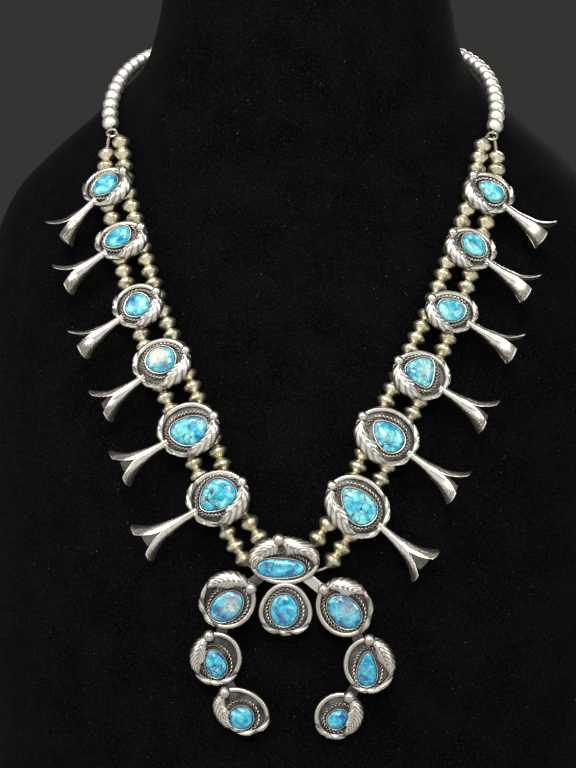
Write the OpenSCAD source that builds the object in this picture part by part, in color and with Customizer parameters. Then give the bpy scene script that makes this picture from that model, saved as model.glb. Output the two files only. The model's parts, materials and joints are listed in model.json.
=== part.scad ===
// Squash blossom necklace on a plain neck bust: a single strand of graduated beads round the neck,
// two strands down the front with twelve stone-set blossoms on them, and a crescent pendant.
// Millimetres. +Z is up and -Y is the front. The origin is the middle of the bust's flat base. The
// necklace's own points are given from the nape, where its clasp rests, and standing() moves them.

/* [Bust] */
// Width of the neck at its top
neck_w = 108; // [104:1:110]
// Width of the chest at its widest
chest_w = 256; // [250:2:270]
// How far the neck rises above the nape
neck_rise = 38; // [20:1:60]
// How far the base lies below the nape
base_drop = 290; // [280:2:320]
// How far the front of the neck stands before the nape
throat = 84; // [80:0.5:86]
// How far the front of the chest stands before the nape, at the base
chest_front = 148.5; // [147:0.25:149]
// Gap between the beads and the chest behind them
rest_gap = 1.4; // [1.2:0.1:2]

/* [Bead strands] */
// Widest diameter of a bead on the two front strands
bead_d = 6.6; // [5.6:0.2:7.2]
// Length that a front bead is made near to, before the beads are fitted to their stretch
bead_length = 5.2; // [4:0.1:7]
// Wall of a hollow bead
bead_wall = 0.5; // [0.3:0.05:0.8]
// Diameter of the first neck bead, at the jump ring
neck_bead_d = 6.4; // [5:0.2:7.2]
// Diameter of the last neck bead, at the clasp
nape_bead_d = 4.6; // [4:0.2:6]
// Length of a neck bead as a share of its diameter
neck_bead_share = 0.8; // [0.6:0.05:1]
// Bare thread under a jump ring on the inner strand
inner_bare = 0.4; // [0.2:0.1:2]
// Bare thread under a jump ring on the outer strand
outer_bare = 3.4; // [2:0.2:6]
// Gap between one piece on a thread and the next
bead_gap = 0.15; // [0.1:0.05:0.4]
// Diameter of the threads
thread_d = 1.2; // [0.8:0.1:1.5]
// Clearance between a thread and the holes that it runs through
thread_clearance = 0.35; // [0.25:0.05:0.5]

/* [Settings] */
// Thickness of a setting's back plate
plate_t = 0.9; // [0.6:0.1:1.5]
// Diameter of the smooth wire round a plate
rim_d = 1.8; // [1.2:0.1:2.4]
// Wall of the bezel that holds a stone
bezel_wall = 0.45; // [0.3:0.05:0.8]
// Height of the bezel above the plate
bezel_h = 1.7; // [1.2:0.1:2.4]
// Width of the twisted wire round the bezel
rope_w = 1.0; // [0.6:0.1:1.4]
// Height of the twisted wire above the plate
rope_h = 0.8; // [0.5:0.1:1.2]
// Diameter of the silver ball beside each leaf
ball_d = 3.6; // [2.6:0.1:4.4]
// Widest width of a leaf
leaf_w = 5.8; // [4.5:0.1:6.6]
// Height of a leaf's ribs above the plate
leaf_rise = 1.9; // [1.3:0.1:2.6]
// Wire diameter of the loops behind a setting
loop_wire = 1.0; // [0.8:0.1:1.2]
// Thickness of the bar that joins a setting's two loops
bar_t = 1.0; // [0.8:0.1:1.2]
// Width of that bar
bar_w = 2.4; // [1.6:0.1:3]
// Clearance between a bead and a plate in front of it
plate_clearance = 0.4; // [0.3:0.05:1]

/* [Stones] */
// Height of a stone above its bezel
stone_rise = 1.3; // [0.8:0.1:2.5]
// Gap between a stone and its bezel and plate
stone_gap = 0.14; // [0.1:0.01:0.2]

/* [Blossoms] */
// Share of a blossom's length that is closed stem, before its petals part
stem_share = 0.5; // [0.4:0.05:0.6]
// Outside diameter of the stem at the plate
stem_d = 2.8; // [2.6:0.1:4]
// Outside diameter of the trumpet where the petals part
throat_d = 5.2; // [4.6:0.1:6.5]
// Wall of the stem
stem_wall = 0.9; // [0.7:0.05:1.2]
// Thickness of a petal
petal_t = 0.55; // [0.4:0.05:0.65]
// Width of a petal at its tip
petal_w = 6; // [4.6:0.2:7]
// How far a petal's tip stands from the blossom's axis
petal_reach = 7.8; // [6:0.2:9.6]
// Number of petals
petal_count = 3; // [3:1:4]
// Turn of the blossom about its own axis, from one petal straight at the back
petal_turn = -15; // [-30:5:30]

/* [Pendant] */
// How far the pendant's lower end leans forward, in degrees
pendant_lean = 1.5; // [0:0.5:8]
// Length of each tube behind the pendant's top
bail_length = 11; // [8:0.5:14]
// Wall of those tubes
bail_wall = 0.5; // [0.4:0.05:0.8]
// Width of the bars that join the pendant's settings
link_w = 4.5; // [3:0.5:7]
// Thickness of those bars
link_t = 1.0; // [0.7:0.1:1.4]

/* [Rings and clasp] */
// Wire diameter of the two jump rings
ring_wire = 0.9; // [0.7:0.05:1]
// Diameter of a jump ring, measured to the middle of its wire
ring_d = 3.8; // [3.6:0.1:5]
// Wire diameter of the eyes at the threads' ends
eye_wire = 0.6; // [0.5:0.05:0.7]
// Diameter of an eye, measured to the middle of its wire
eye_d = 2.0; // [1.9:0.05:2.2]
// Diameter of the clasp's barrel
clasp_d = 4.6; // [4:0.2:6]
// Length of the clasp's barrel
clasp_length = 9; // [6:0.5:14]

/* [Hidden] */
SIDES = [["left", -1], ["right", 1]];
STATIONS = [1, 2, 3, 4, 5, 6];
PENDANT_STONES = ["top", "drop", "left_1", "left_2", "left_3", "right_1", "right_2", "right_3"];

// Colours of the metals, the stones, the thread and the bust
SILVER = [0.78, 0.76, 0.73];
BEAD_SILVER = [0.75, 0.72, 0.62];
TURQUOISE = [0.13, 0.6, 0.72];
STEEL = [0.6, 0.58, 0.52];
VELVET = [0.03, 0.03, 0.035];

// Routes of one side, +X, chosen by hand. The other side mirrors them.
JUNCTION = [71.5, -78.5, -41];
NECK_ROUTE = [
    [73.3, -71.5, -34], [73, -61.5, -25], [69.6, -49.5, -16], [62, -35, -8.5],
    [50.8, -19.5, -3.5], [36, -7.3, -1], [19.5, -0.3, 0]
];
OUTER_START = [[73, -81, -49]];
OUTER_ROUTE = [
    [72.5, -88, -61], [66.5, -101, -81], [59.5, -113, -104],
    [50.5, -124, -126], [39.5, -133, -148], [28.5, -140, -171]
];
OUTER_END = [[18.5, -143.5, -188], [14, -144.3, -194.3]];
INNER_START = [[67.6, -81.2, -44.4], [66.6, -83.8, -49]];
INNER_ROUTE = [
    [64.3, -91, -61], [57.3, -104, -81], [48.8, -115.5, -104],
    [38.6, -126.5, -126], [28.5, -135, -148], [19, -141.5, -171]
];
INNER_END = [[12, -143.7, -182], [8.6, -144.6, -187]];
PENDANT_PLACE = [0, -148.6, -192];

// Sections of the bust. Columns: width, as a share of the way from neck_w to chest_w; front, as a
// share of the way from throat to chest_front, or "carried" where the outer strand's point sets it;
// then the back and the widest line, as shares of throat behind and before the nape.
WIDE = 0;
FRONT = 1;
BACK = 2;
WIDEST = 3;
// From the top of the neck down to the nape, at these shares of neck_rise
NECK_HEIGHTS = [1, 0.94, 0.42, 0];
NECK_SECTIONS = [[-0.02, -0.03, -0.09, 0.524], [0, 0, -0.071, 0.524], [0.02, 0.047, -0.054, 0.524], [0.06, 0.093, -0.048, 0.536]];
// At the neck route's last four points but three, the junction and the outer strand's start
SHOULDER_SECTIONS = [
    [0.09, 0.109, -0.119, 0.56], [0.14, 0.109, -0.131, 0.5], [0.292, 0.116, -0.095, 0.429],
    [0.43, 0.132, -0.048, 0.405], [0.55, 0.13, 0, 0.405], [0.665, 0.115, 0.048, 0.405]
];
// At the outer route's points
CHEST_SECTIONS = [
    [0.835, "carried", 0.083, 0.429], [0.932, "carried", 0.107, 0.5], [0.986, "carried", 0.107, 0.548],
    [1, "carried", 0.095, 0.595], [1, "carried", 0.083, 0.643], [1, "carried", 0.071, 0.69]
];
// From there to the base, at these shares of base_drop
BASE_DEPTHS = [0.662, 0.741, 0.879, 0.99, 1];
BASE_SECTIONS = [
    [1, 0.887, 0.06, 0.714], [0.993, 0.921, 0.06, 0.738], [0.959, 0.974, 0.06, 0.786],
    [0.91, 1, 0.06, 0.833], [0.885, 0.98, 0.045, 0.833]
];

// Angles on a setting are seen from the front, from the wearer's outer side round over the top.
// Rows: [plate's place out and up from the outer strand], [plate's width, height, turn], ball's angle,
// [stone's place on the plate], [stone's width, height, turn, taper], [blossom's angle, reach of its tips]
PLACE = 0;
PLATE = 1;
BALL = 2;
STONE_PLACE = 3;
STONE = 4;
STEM = 5;
LEFT_ROWS = [
    [[-3.8, -3.1], [19.5, 16.2, -10], 132, [0.8, 0.3], [10.2, 7.6, -45, 0.10], [-54, 25.5]],
    [[-4.6, -2.5], [20.3, 15.3, -10], 145, [1.4, 0.9], [10.2, 7.4, -35, 0.10], [-40, 26.2]],
    [[-4.6, -2.7], [18.8, 17.1, -10], 141, [0.2, -0.2], [9.2, 8.6, -20, 0.15], [-39, 26.2]],
    [[-5.2, -0.3], [21.4, 18.7, -10], 151, [0.4, 1.0], [10.8, 9.5, -10, 0.05], [-39, 27.0]],
    [[-4.6, -0.6], [22.5, 19.5, -15], 151, [-0.3, -0.6], [13.4, 9.8, -15, 0.05], [-32, 28.4]],
    [[-4.7, -0.5], [22.7, 19.6, -15], 145, [0.4, 0.7], [13.6, 10.4, -35, 0.30], [-32, 31.8]]
];
RIGHT_ROWS = [
    [[-5.2, -4.2], [19.4, 16.8, -20], 128, [0.8, 0.4], [9.4, 7.0, 145, 0.30], [-43, 26.4]],
    [[-5.7, -4.3], [19.2, 16.4, -20], 136, [1.4, 1.0], [9.8, 7.8, -50, 0.05], [-39, 26.6]],
    [[-4.7, -3.5], [19.2, 16.0, -10], 146, [0.1, 0.2], [9.8, 8.2, -10, 0.20], [-34, 27.0]],
    [[-6.1, -3.4], [20.9, 18.2, -15], 147, [0.1, 0.8], [10.6, 9.6, -70, 0.30], [-34, 28.4]],
    [[-6.7, -2.0], [23.6, 20.2, -30], 140, [0.2, 0.3], [12.6, 8.8, 132, 0.50], [-37, 31.4]],
    [[-5.4, -2.5], [24.4, 20.6, -42], 141, [0.2, 0.2], [14.6, 9.8, 130, 0.30], [-41, 32.0]]
];

// Rows of the pendant: [place right and up], [plate's width, height, turn], ball's angle,
// [stone's place on the plate], [stone's width, height, turn, taper], [leaf's two ends], [rim's two ends]
LEAF_ENDS = 5;
RIM_ENDS = 6;
PENDANT_TOP = [[-1.1, 0.3], [25, 17, 0], 104, [-1.1, -2.6], [17, 6.6, 0, 0.1], [112, 190], [222, 335]];
TOP_SECOND_LEAF = [92, 0];
PENDANT_DROP = [[-0.4, -16.9], [19.4, 19, 0], 0, [-0.5, 0.2], [11.2, 9.6, 90, 0.2], [], [60, -240]];
PENDANT_ARMS = [
    [[-20.6, -14], [20.6, 19.6, 60], 29, [-0.4, -2.1], [12.6, 9.0, 40, 0], [42, 150], [18, -130]],
    [[-24.5, -34.4], [18.6, 18.2, 90], 107, [-0.2, -1.8], [9.8, 6.9, 112, 0.2], [122, 218], [94, -50]],
    [[-15.5, -52.8], [20.6, 15.6, -25], 131, [0.1, -2.2], [8.2, 7.8, 0, 0], [145, 242], [118, -28]],
    [[20, -15.8], [21.2, 19.4, -60], 138, [0.2, -1.4], [13.4, 9.6, -45, 0.1], [116, 40], [158, 300]],
    [[29, -35.6], [19.6, 18, 90], 90, [-0.7, -1.5], [11.8, 6.4, 88, 0.35], [74, -16], [104, 250]],
    [[18.6, -53.6], [17.6, 15.8, 30], 62, [-0.4, -1.2], [7.4, 6.0, 40, 0.1], [48, -72], [76, 215]]
];
// Pairs of the pendant's settings that a bar joins: the top, the drop, then the arms in order
LINKS = [[0, 1], [0, 2], [2, 3], [3, 4], [0, 5], [5, 6], [6, 7]];

// Fineness of outlines and sweeps
OUTLINE_SIDES = 24;
STONE_SIDES = 16;
SWEEP_SIDES = 6;
SPAN_STEPS = 12;
BUST_SIDES = 32;
THREAD_STEPS = 4;
$fn = 32;

// Derived sizes
bead_r = bead_d / 2;
thread_r = thread_d / 2;
hole_r = thread_r + thread_clearance;
loop_r = hole_r + loop_wire / 2;
plate_depth = bead_r + plate_clearance;
overlap = 0.2;

// Vectors and frames

function unit(v) = v / norm(v);
function total(list, i = 0) = i < len(list) ? list[i] + total(list, i + 1) : 0;
function mirrored(points, side) = [for (p = points) [side * p[0], p[1], p[2]]];
function reversed(list) = [for (i = [len(list) - 1 : -1 : 0]) list[i]];
function spin(v, angle) = [v[0] * cos(angle) - v[1] * sin(angle), v[0] * sin(angle) + v[1] * cos(angle)];

// The 4 x 4 frame with the given axes and origin
function frame(x, y, z, o) = [
    [x[0], y[0], z[0], o[0]],
    [x[1], y[1], z[1], o[1]],
    [x[2], y[2], z[2], o[2]],
    [0, 0, 0, 1]
];

// A frame whose Z axis runs along d and whose X axis lies as near as it can to the given hint
function along(d, o, hint = [0, 1, 0.01]) =
    let (z = unit(d), y = unit(cross(z, hint)), x = cross(y, z)) frame(x, y, z, o);

// Routes: a smooth curve through chosen points, with its direction averaged at each point

function directions(p) = [
    for (i = [0 : len(p) - 1])
        unit((i > 0 ? unit(p[i] - p[i - 1]) : [0, 0, 0]) + (i < len(p) - 1 ? unit(p[i + 1] - p[i]) : [0, 0, 0]))
];

function span_point(a, b, da, db, t) =
    let (reach = norm(b - a), t2 = t * t, t3 = t2 * t)
    a * (2 * t3 - 3 * t2 + 1) + b * (3 * t2 - 2 * t3)
    + da * reach * (t3 - 2 * t2 + t) + db * reach * (t3 - t2);

function smooth(p, steps, first = 0, last = undef) =
    let (d = directions(p), end = is_undef(last) ? len(p) - 1 : last)
    concat(
        [for (i = [first : end - 1], k = [0 : steps - 1]) span_point(p[i], p[i + 1], d[i], d[i + 1], k / steps)],
        [p[end]]
    );

function lengths(line, i = 0, so_far = 0) =
    i >= len(line) - 1 ? [so_far] : concat([so_far], lengths(line, i + 1, so_far + norm(line[i + 1] - line[i])));

function point_at(line, run, s) =
    let (
        found = [for (i = [0 : len(run) - 2]) if (run[i] <= s && s <= run[i + 1]) i],
        i = s <= 0 ? 0 : len(found) ? found[0] : len(run) - 2
    )
    line[i] + (line[i + 1] - line[i]) * (s - run[i]) / (run[i + 1] - run[i]);

// A closed solid through rings of points that all have the same number of points, each ring
// turning right-handed about the way on to the next.
// A strip's rings run out along one edge and back along the other, so its ends are capped edge to edge.
module skin(rings, strip = false) {
    n = len(rings);
    m = len(rings[0]);
    points = [for (r = rings, p = r) p];
    sides = [
        for (i = [0 : n - 2], k = [0 : m - 1])
            let (a = i * m + k, b = i * m + (k + 1) % m)
                each [[a, b + m, b], [a, a + m, b + m]]
    ];
    caps = strip
        ? [
            for (k = [0 : m / 2 - 2])
                each [[k, k + 1, m - 2 - k, m - 1 - k], [for (c = [m - 1 - k, m - 2 - k, k + 1, k]) (n - 1) * m + c]]
        ]
        : [
            [for (k = [0 : m - 1]) k],
            [for (k = [m - 1 : -1 : 0]) (n - 1) * m + k]
        ];
    polyhedron(points, concat(sides, caps), convexity = 8);
}

// Rings of a round sweep along a line of points. Each ring keeps its turn near to the one before.
function ring_axes(line, i = 0, x = undef) =
    let (
        d = unit(line[min(i + 1, len(line) - 1)] - line[max(i - 1, 0)]),
        hint = is_undef(x) ? [0, 0.3, 1] : x,
        across = unit(hint - d * (hint * d))
    )
    i >= len(line) ? [] : concat([[across, cross(d, across)]], ring_axes(line, i + 1, across));

module rope_along(line, r) {
    axes = ring_axes(line);
    skin([
        for (i = [0 : len(line) - 1]) [
            for (k = [0 : SWEEP_SIDES - 1])
                let (a = 360 * k / SWEEP_SIDES) line[i] + r * (cos(a) * axes[i][0] + sin(a) * axes[i][1])
        ]
    ]);
}

// A wire ring in its own XY plane
module wire_ring(d, wire) {
    rotate_extrude()
        translate([d / 2, 0])
            circle(d = wire);
}

// Beads

// Half of a bead's outline from its hole to its widest, as shares of its radius beyond the
// hole's collar and of its half length
BEAD_CURVE = [[0, 1], [0.14, 0.92], [0.72, 0.42], [1, 0.08]];

module bead(d, length) {
    collar = hole_r + bead_wall * 0.8;
    half = [for (c = BEAD_CURVE) [collar + (d / 2 - collar) * c[0], length / 2 * c[1]]];
    hollow = [for (i = [1 : 3]) [half[i][0] - bead_wall, half[i][1] - (i < 2 ? bead_wall : 0)]];
    hollow_end = hollow[0][1];
    rotate_extrude()
        polygon(concat(
            [[hole_r, length / 2]], half, [for (p = reversed(half)) [p[0], -p[1]]], [[hole_r, -length / 2]],
            [[hole_r, -hollow_end]], [for (i = [1, 2]) [hollow[i][0], -hollow[i][1]]],
            [hollow[2], hollow[1]], [[hole_r, hollow_end]]
        ));
}

// A bead whose hole starts at s along a route and ends a length later
module bead_on(line, run, s, d, length) {
    a = point_at(line, run, s);
    b = point_at(line, run, s + length);
    multmatrix(along(b - a, (a + b) / 2))
        bead(d, norm(b - a));
}

// Equal beads that fill a route between two ends kept clear
module fill(line, clear_start, clear_end) {
    run = lengths(line);
    room = run[len(run) - 1] - clear_start - clear_end;
    count = max(1, round(room / (bead_length + bead_gap)));
    pitch = room / count;
    for (k = [0 : count - 1])
        bead_on(line, run, clear_start + k * pitch + bead_gap / 2, bead_d, pitch - bead_gap);
}

// Beads that grow smaller along a route
module graduated(line, clear_start, clear_end) {
    run = lengths(line);
    room = run[len(run) - 1] - clear_start - clear_end;
    mean_d = (neck_bead_d + nape_bead_d) / 2;
    count = round(room / (mean_d * neck_bead_share + bead_gap));
    sizes = [for (k = [0 : count - 1]) neck_bead_d + (nape_bead_d - neck_bead_d) * k / (count - 1)];
    scale_up = (room - count * bead_gap) / total(sizes);
    starts = [for (k = 0, s = clear_start + bead_gap / 2; k < count; s = s + sizes[k] * scale_up + bead_gap, k = k + 1) s];
    for (k = [0 : count - 1])
        bead_on(line, run, starts[k], sizes[k], sizes[k] * scale_up);
}

// Jump rings and thread eyes

function ring_up(side) = unit(mirrored([NECK_ROUTE[0] - JUNCTION], side)[0]);
function ring_across(side) =
    let (up = ring_up(side), out = [side, 0, 0]) unit(out - up * (out * up));
function ring_centre(side) = mirrored([JUNCTION], side)[0];

// Where on a jump ring each thread holds, as an angle from the ring's upper point
NECK_AT = 0;
OUTER_AT = -150;
INNER_AT = 128;

function eye_direction(side, at) = cos(at) * ring_up(side) - sin(at) * ring_across(side);
function eye_centre(side, at) = ring_centre(side) + eye_direction(side, at) * (ring_d / 2 + eye_play);
function eye_end(side, at) = eye_centre(side, at) + eye_direction(side, at) * eye_d / 2;
eye_play = (eye_d - eye_wire - ring_wire) / 4;

module eye(side, at) {
    out = eye_direction(side, at);
    face = cross(ring_up(side), ring_across(side));
    multmatrix(frame(out, face, cross(out, face), eye_centre(side, at)))
        wire_ring(eye_d, eye_wire);
}

module jump_ring(side) {
    up = ring_up(side);
    across = ring_across(side);
    color(BEAD_SILVER)
        multmatrix(frame(across, up, cross(across, up), ring_centre(side)))
            wire_ring(ring_d, ring_wire);
}

// The clasp: a barrel at the nape with a fixed ring at each end

clasp_eye_x = clasp_length / 2 + eye_d / 2 + eye_wire / 2 - overlap;
clasp_y = clasp_d / 2;
clasp_thread_x = clasp_eye_x + eye_play;

module clasp() {
    color(SILVER)
        translate([0, clasp_y, 0]) {
            rotate([0, 90, 0])
                cylinder(d = clasp_d, h = clasp_length, center = true);
            for (side = [-1, 1])
                translate([side * clasp_eye_x, 0, 0])
                    wire_ring(eye_d, ring_wire);
        }
}

// Threads

function neck_points(side) = concat(
    [eye_end(side, NECK_AT)],
    mirrored(NECK_ROUTE, side),
    [[side * (clasp_thread_x + eye_d), clasp_y, 0]]
);

function pendant_axes() = [[1, 0, 0], [0, sin(pendant_lean), cos(pendant_lean)], [0, -cos(pendant_lean), sin(pendant_lean)]];
function on_pendant(right, up, front) =
    let (a = pendant_axes()) PENDANT_PLACE + right * a[0] + up * a[1] + front * a[2];

// Heights of the two tubes behind the pendant's top, from the middle of its plate
UPPER_BAIL = 4.4;
LOWER_BAIL = -4.4;

function strand_points(side, inner) = concat(
    [eye_end(side, inner ? INNER_AT : OUTER_AT)],
    mirrored(inner ? INNER_START : OUTER_START, side),
    mirrored(inner ? INNER_ROUTE : OUTER_ROUTE, side),
    mirrored(inner ? INNER_END : OUTER_END, side),
    [on_pendant(side * bail_length / 2, inner ? UPPER_BAIL : LOWER_BAIL, -plate_depth)]
);

// Control point of a strand at a station, and the strand's direction there
function station_index(inner, i) = (inner ? len(INNER_START) : len(OUTER_START)) + i;
function station_point(side, inner, i) = strand_points(side, inner)[station_index(inner, i)];
function station_direction(side, inner, i) = directions(strand_points(side, inner))[station_index(inner, i)];

module strand_thread(inner) {
    whole = concat(
        strand_points(-1, inner),
        [on_pendant(0, inner ? UPPER_BAIL : LOWER_BAIL, -plate_depth)],
        reversed(strand_points(1, inner))
    );
    color(STEEL) {
        rope_along(smooth(whole, THREAD_STEPS), thread_r);
        for (side = [-1, 1])
            eye(side, inner ? INNER_AT : OUTER_AT);
    }
}

module neck_thread(side) {
    color(STEEL) {
        rope_along(smooth(neck_points(side), THREAD_STEPS), thread_r);
        eye(side, NECK_AT);
        translate([side * (clasp_thread_x + eye_d / 2), clasp_y, 0])
            rotate([90, 0, 0])
                wire_ring(eye_d, eye_wire);
    }
}

// Bead strands: the first stretch, the stretches between the stations, and the last stretch

// Play beside each loop, where a bead turns with the strand and the loop doesn't
LOOP_PLAY = 0.12;

module strand_beads(side, inner) {
    p = strand_points(side, inner);
    at_loop = loop_wire / 2 + bead_gap + LOOP_PLAY;
    first = station_index(inner, 1);
    last = station_index(inner, 6);
    color(BEAD_SILVER) {
        fill(smooth(p, SPAN_STEPS, 0, first), eye_wire / 2 + (inner ? inner_bare : outer_bare), at_loop);
        for (i = [first : last - 1])
            fill(smooth(p, SPAN_STEPS, i, i + 1), at_loop, at_loop);
        fill(smooth(p, SPAN_STEPS, last, len(p) - 2), at_loop, 0);
    }
}

module neck_beads(side) {
    p = neck_points(side);
    color(BEAD_SILVER)
        graduated(smooth(p, SPAN_STEPS), eye_wire / 2, eye_d / 2 + eye_wire);
}

// Outlines on a setting

// Distance from an oval's centre to its edge at an angle, for an oval [width, height, turn]
function oval_r(oval, a) =
    let (w = oval[0] / 2, h = oval[1] / 2, b = a - oval[2])
    w * h / sqrt(pow(h * cos(b), 2) + pow(w * sin(b), 2));

function oval_points(oval, inset) = [
    for (k = [0 : OUTLINE_SIDES - 1])
        let (a = 360 * k / OUTLINE_SIDES, r = oval_r(oval, a) - inset) [r * cos(a), r * sin(a)]
];

// A stone's outline, grown by a margin. It narrows towards the end that its turn points at.
function stone_points(row, margin, sides) =
    let (s = row[STONE], w = s[0] / 2, h = s[1] / 2)
    [
        for (k = [0 : sides - 1])
            let (
                a = 360 * k / sides,
                out = unit([cos(a) / w, sin(a) / h]),
                p = [w * cos(a), h * sin(a) * (1 - s[3] * cos(a))] + out * margin
            )
            row[STONE_PLACE] + spin(p, s[2])
    ];

// How far an outline reaches from its own centre at an angle
function outline_reach(points, a) =
    let (n = len(points), u = [cos(a), sin(a)], c = [for (p = points) u[0] * p[1] - u[1] * p[0]])
    max([
        for (k = [0 : n - 1])
            let (j = (k + 1) % n)
            if (c[k] * c[j] <= 0 && c[k] != c[j])
                (points[k] + (points[j] - points[k]) * c[k] / (c[k] - c[j])) * u
    ]);

module ring_of(outer, inner, height) {
    n = len(outer);
    linear_extrude(height)
        polygon(concat(outer, inner), [[for (k = [0 : n - 1]) k], [for (k = [0 : n - 1]) n + k]]);
}

// Parts of a setting, in its own frame: X and Y across the plate, Z out of its back face

module plate(oval) {
    linear_extrude(plate_t)
        polygon(oval_points(oval, overlap));
}

module rim(oval, from, to) {
    steps = ceil(abs(to - from) / 18);
    r = rim_d / 2;
    skin([
        for (i = [0 : steps])
            let (t = to > from ? i / steps : 1 - i / steps, a = from + (to - from) * t, mid = oval_r(oval, a) - r)
            [
                for (k = [0 : SWEEP_SIDES - 1])
                    let (b = -360 * k / SWEEP_SIDES, out = mid + r * cos(b))
                    [out * cos(a), out * sin(a), plate_t + r * (0.35 + sin(b))]
            ]
    ]);
}

module bezel(row) {
    inner = stone_gap;
    outer = stone_gap + bezel_wall;
    translate([0, 0, plate_t - overlap]) {
        ring_of(
            stone_points(row, outer, OUTLINE_SIDES), stone_points(row, inner, OUTLINE_SIDES), bezel_h + overlap
        );
        ring_of(
            stone_points(row, outer + rope_w, OUTLINE_SIDES), stone_points(row, outer - bezel_wall / 2, OUTLINE_SIDES),
            rope_h + overlap
        );
    }
}

// Shares of a leaf along its length: how wide it is, from the stalk to the tip
LEAF_WIDTHS = [0.3, 0.72, 0.94, 1, 0.97, 0.86, 0.66, 0.38, 0.1];

module leaf(row, from, to) {
    steps = len(LEAF_WIDTHS) - 1;
    bottom = plate_t - overlap;
    inside = stone_points(row, stone_gap + bezel_wall, OUTLINE_SIDES);
    skin([
        for (i = [0 : steps])
            let (
                t = to > from ? i / steps : 1 - i / steps,
                a = from + (to - from) * t,
                share = LEAF_WIDTHS[to > from ? i : steps - i],
                limit = outline_reach(inside, a),
                outer = max(oval_r(row[PLATE], a) + overlap - leaf_w / 2 * (1 - share), limit + 0.5),
                w = (outer - max(outer - leaf_w * share, limit)) / 2,
                mid = outer - w,
                rise = plate_t + leaf_rise * (0.45 + 0.55 * share),
                section = [[-1, bottom], [-1, rise * 0.62], [-0.5, rise], [0, rise * 0.86], [0.5, rise], [1, rise * 0.62], [1, bottom]]
            )
            [for (s = section) let (out = mid + w * s[0]) [out * cos(a), out * sin(a), s[1]]]
    ]);
}

module ball(oval, at) {
    r = oval_r(oval, at) - ball_d / 4;
    translate([r * cos(at), r * sin(at), plate_t + ball_d * 0.3])
        sphere(d = ball_d);
}

module stone(row) {
    foot = plate_t + stone_gap;
    top = bezel_h + stone_rise - stone_gap;
    dome = [[1, 0], [1, 0.5], [0.92, 0.72], [0.7, 0.9], [0.36, 1]];
    middle = row[STONE_PLACE];
    outline = stone_points(row, 0, STONE_SIDES);
    skin([
        for (level = dome)
            [for (p = outline) let (q = middle + (p - middle) * level[0]) [q[0], q[1], foot + top * level[1]]]
    ]);
}

// A blossom: a hollow stem that widens to its throat, and petals that curl away from it.
// Its own frame has Z along its axis, from the plate's edge.

// How far out and how far along each section of a petal lies, as shares from the throat to the tip
PETAL_CURVE = [[-0.02, -0.12], [0.04, 0.12], [0.2, 0.42], [0.5, 0.74], [1, 1]];
PETAL_ACROSS = [-1, -0.36, 0.36, 1];

module petal(length) {
    throat_r = throat_d / 2 - stem_wall / 2;
    full = 360 / petal_count - 8;
    skin([
        for (c = PETAL_CURVE)
            let (
                r = throat_r + (petal_reach - throat_r) * c[0],
                t = max(c[0], 0),
                arc = min(full, 360 * (petal_w * (0.9 + 0.1 * t)) / (2 * PI * r)),
                bend = arc * (1 - 0.35 * t),
                section = [r, length * (stem_share + (1 - stem_share) * c[1]), bend, r * arc / bend]
            )
            concat(
                [for (a = PETAL_ACROSS) petal_edge(section, a, petal_t / 2)],
                [for (a = reversed(PETAL_ACROSS)) petal_edge(section, a, -petal_t / 2)]
            )
    ], strip = true);
}

function petal_edge(section, across, out) =
    let (a = section[2] / 2 * across, r = section[3])
    [section[0] - r + (r + out) * cos(a), (r + out) * sin(a), section[1]];

module stem(length) {
    sunk = 1.6;
    top = length * stem_share;
    rotate_extrude()
        polygon([
            [0, -sunk], [stem_d / 2, -sunk], [stem_d / 2, 0], [throat_d / 2, top],
            [throat_d / 2 - stem_wall, top], [stem_d / 2 - stem_wall, top * 0.35], [0, top * 0.3]
        ]);
}

module blossom(length) {
    stem(length);
    for (k = [0 : petal_count - 1])
        rotate([0, 0, petal_turn + 360 * k / petal_count])
            petal(length);
}

// Stations

function blossom_row(side, i) = (side < 0 ? LEFT_ROWS : RIGHT_ROWS)[i - 1];

// Axes of a station: right, up and front as seen from the wearer's front, on the strands' surface
function station_axes(side, i) =
    let (
        down = station_direction(side, false, i),
        inward = unit(station_point(side, true, i) - station_point(side, false, i)),
        raw = unit(cross(down, inward)),
        front = raw[1] < 0 ? raw : -raw,
        up = unit([0, 0, 1] - front * front[2])
    )
    [cross(up, front), up, front];

// Places children in a station's frame, with X towards the wearer's side on both halves
module at_station(side, i) {
    a = station_axes(side, i);
    multmatrix(frame(a[0], a[1], a[2], station_point(side, false, i) + a[2] * plate_depth))
        mirror([side < 0 ? 1 : 0, 0, 0])
            children();
}

// A thread loop on its post, which stands back from the plate
module loop(side, inner, i) {
    o = station_point(side, inner, i);
    a = station_axes(side, i);
    multmatrix(along(station_direction(side, inner, i), o, a[2]))
        wire_ring(2 * loop_r, loop_wire);
    multmatrix(frame(a[0], a[1], a[2], o + a[2] * loop_r))
        cylinder(d = loop_wire * 1.3, h = plate_depth - loop_r - bar_t / 2);
}

// The bar behind the plate that carries both loops
module loop_bar(side, i) {
    outer = station_point(side, false, i);
    inner = station_point(side, true, i);
    front = station_axes(side, i)[2];
    across = inner - outer;
    level = across - front * (across * front);
    multmatrix(frame(unit(level), cross(front, unit(level)), front, (outer + inner) / 2))
        translate([0, 0, plate_depth - bar_t / 2 + overlap / 2])
            cube([norm(level) + bar_w, bar_w, bar_t + overlap], center = true);
}

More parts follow.
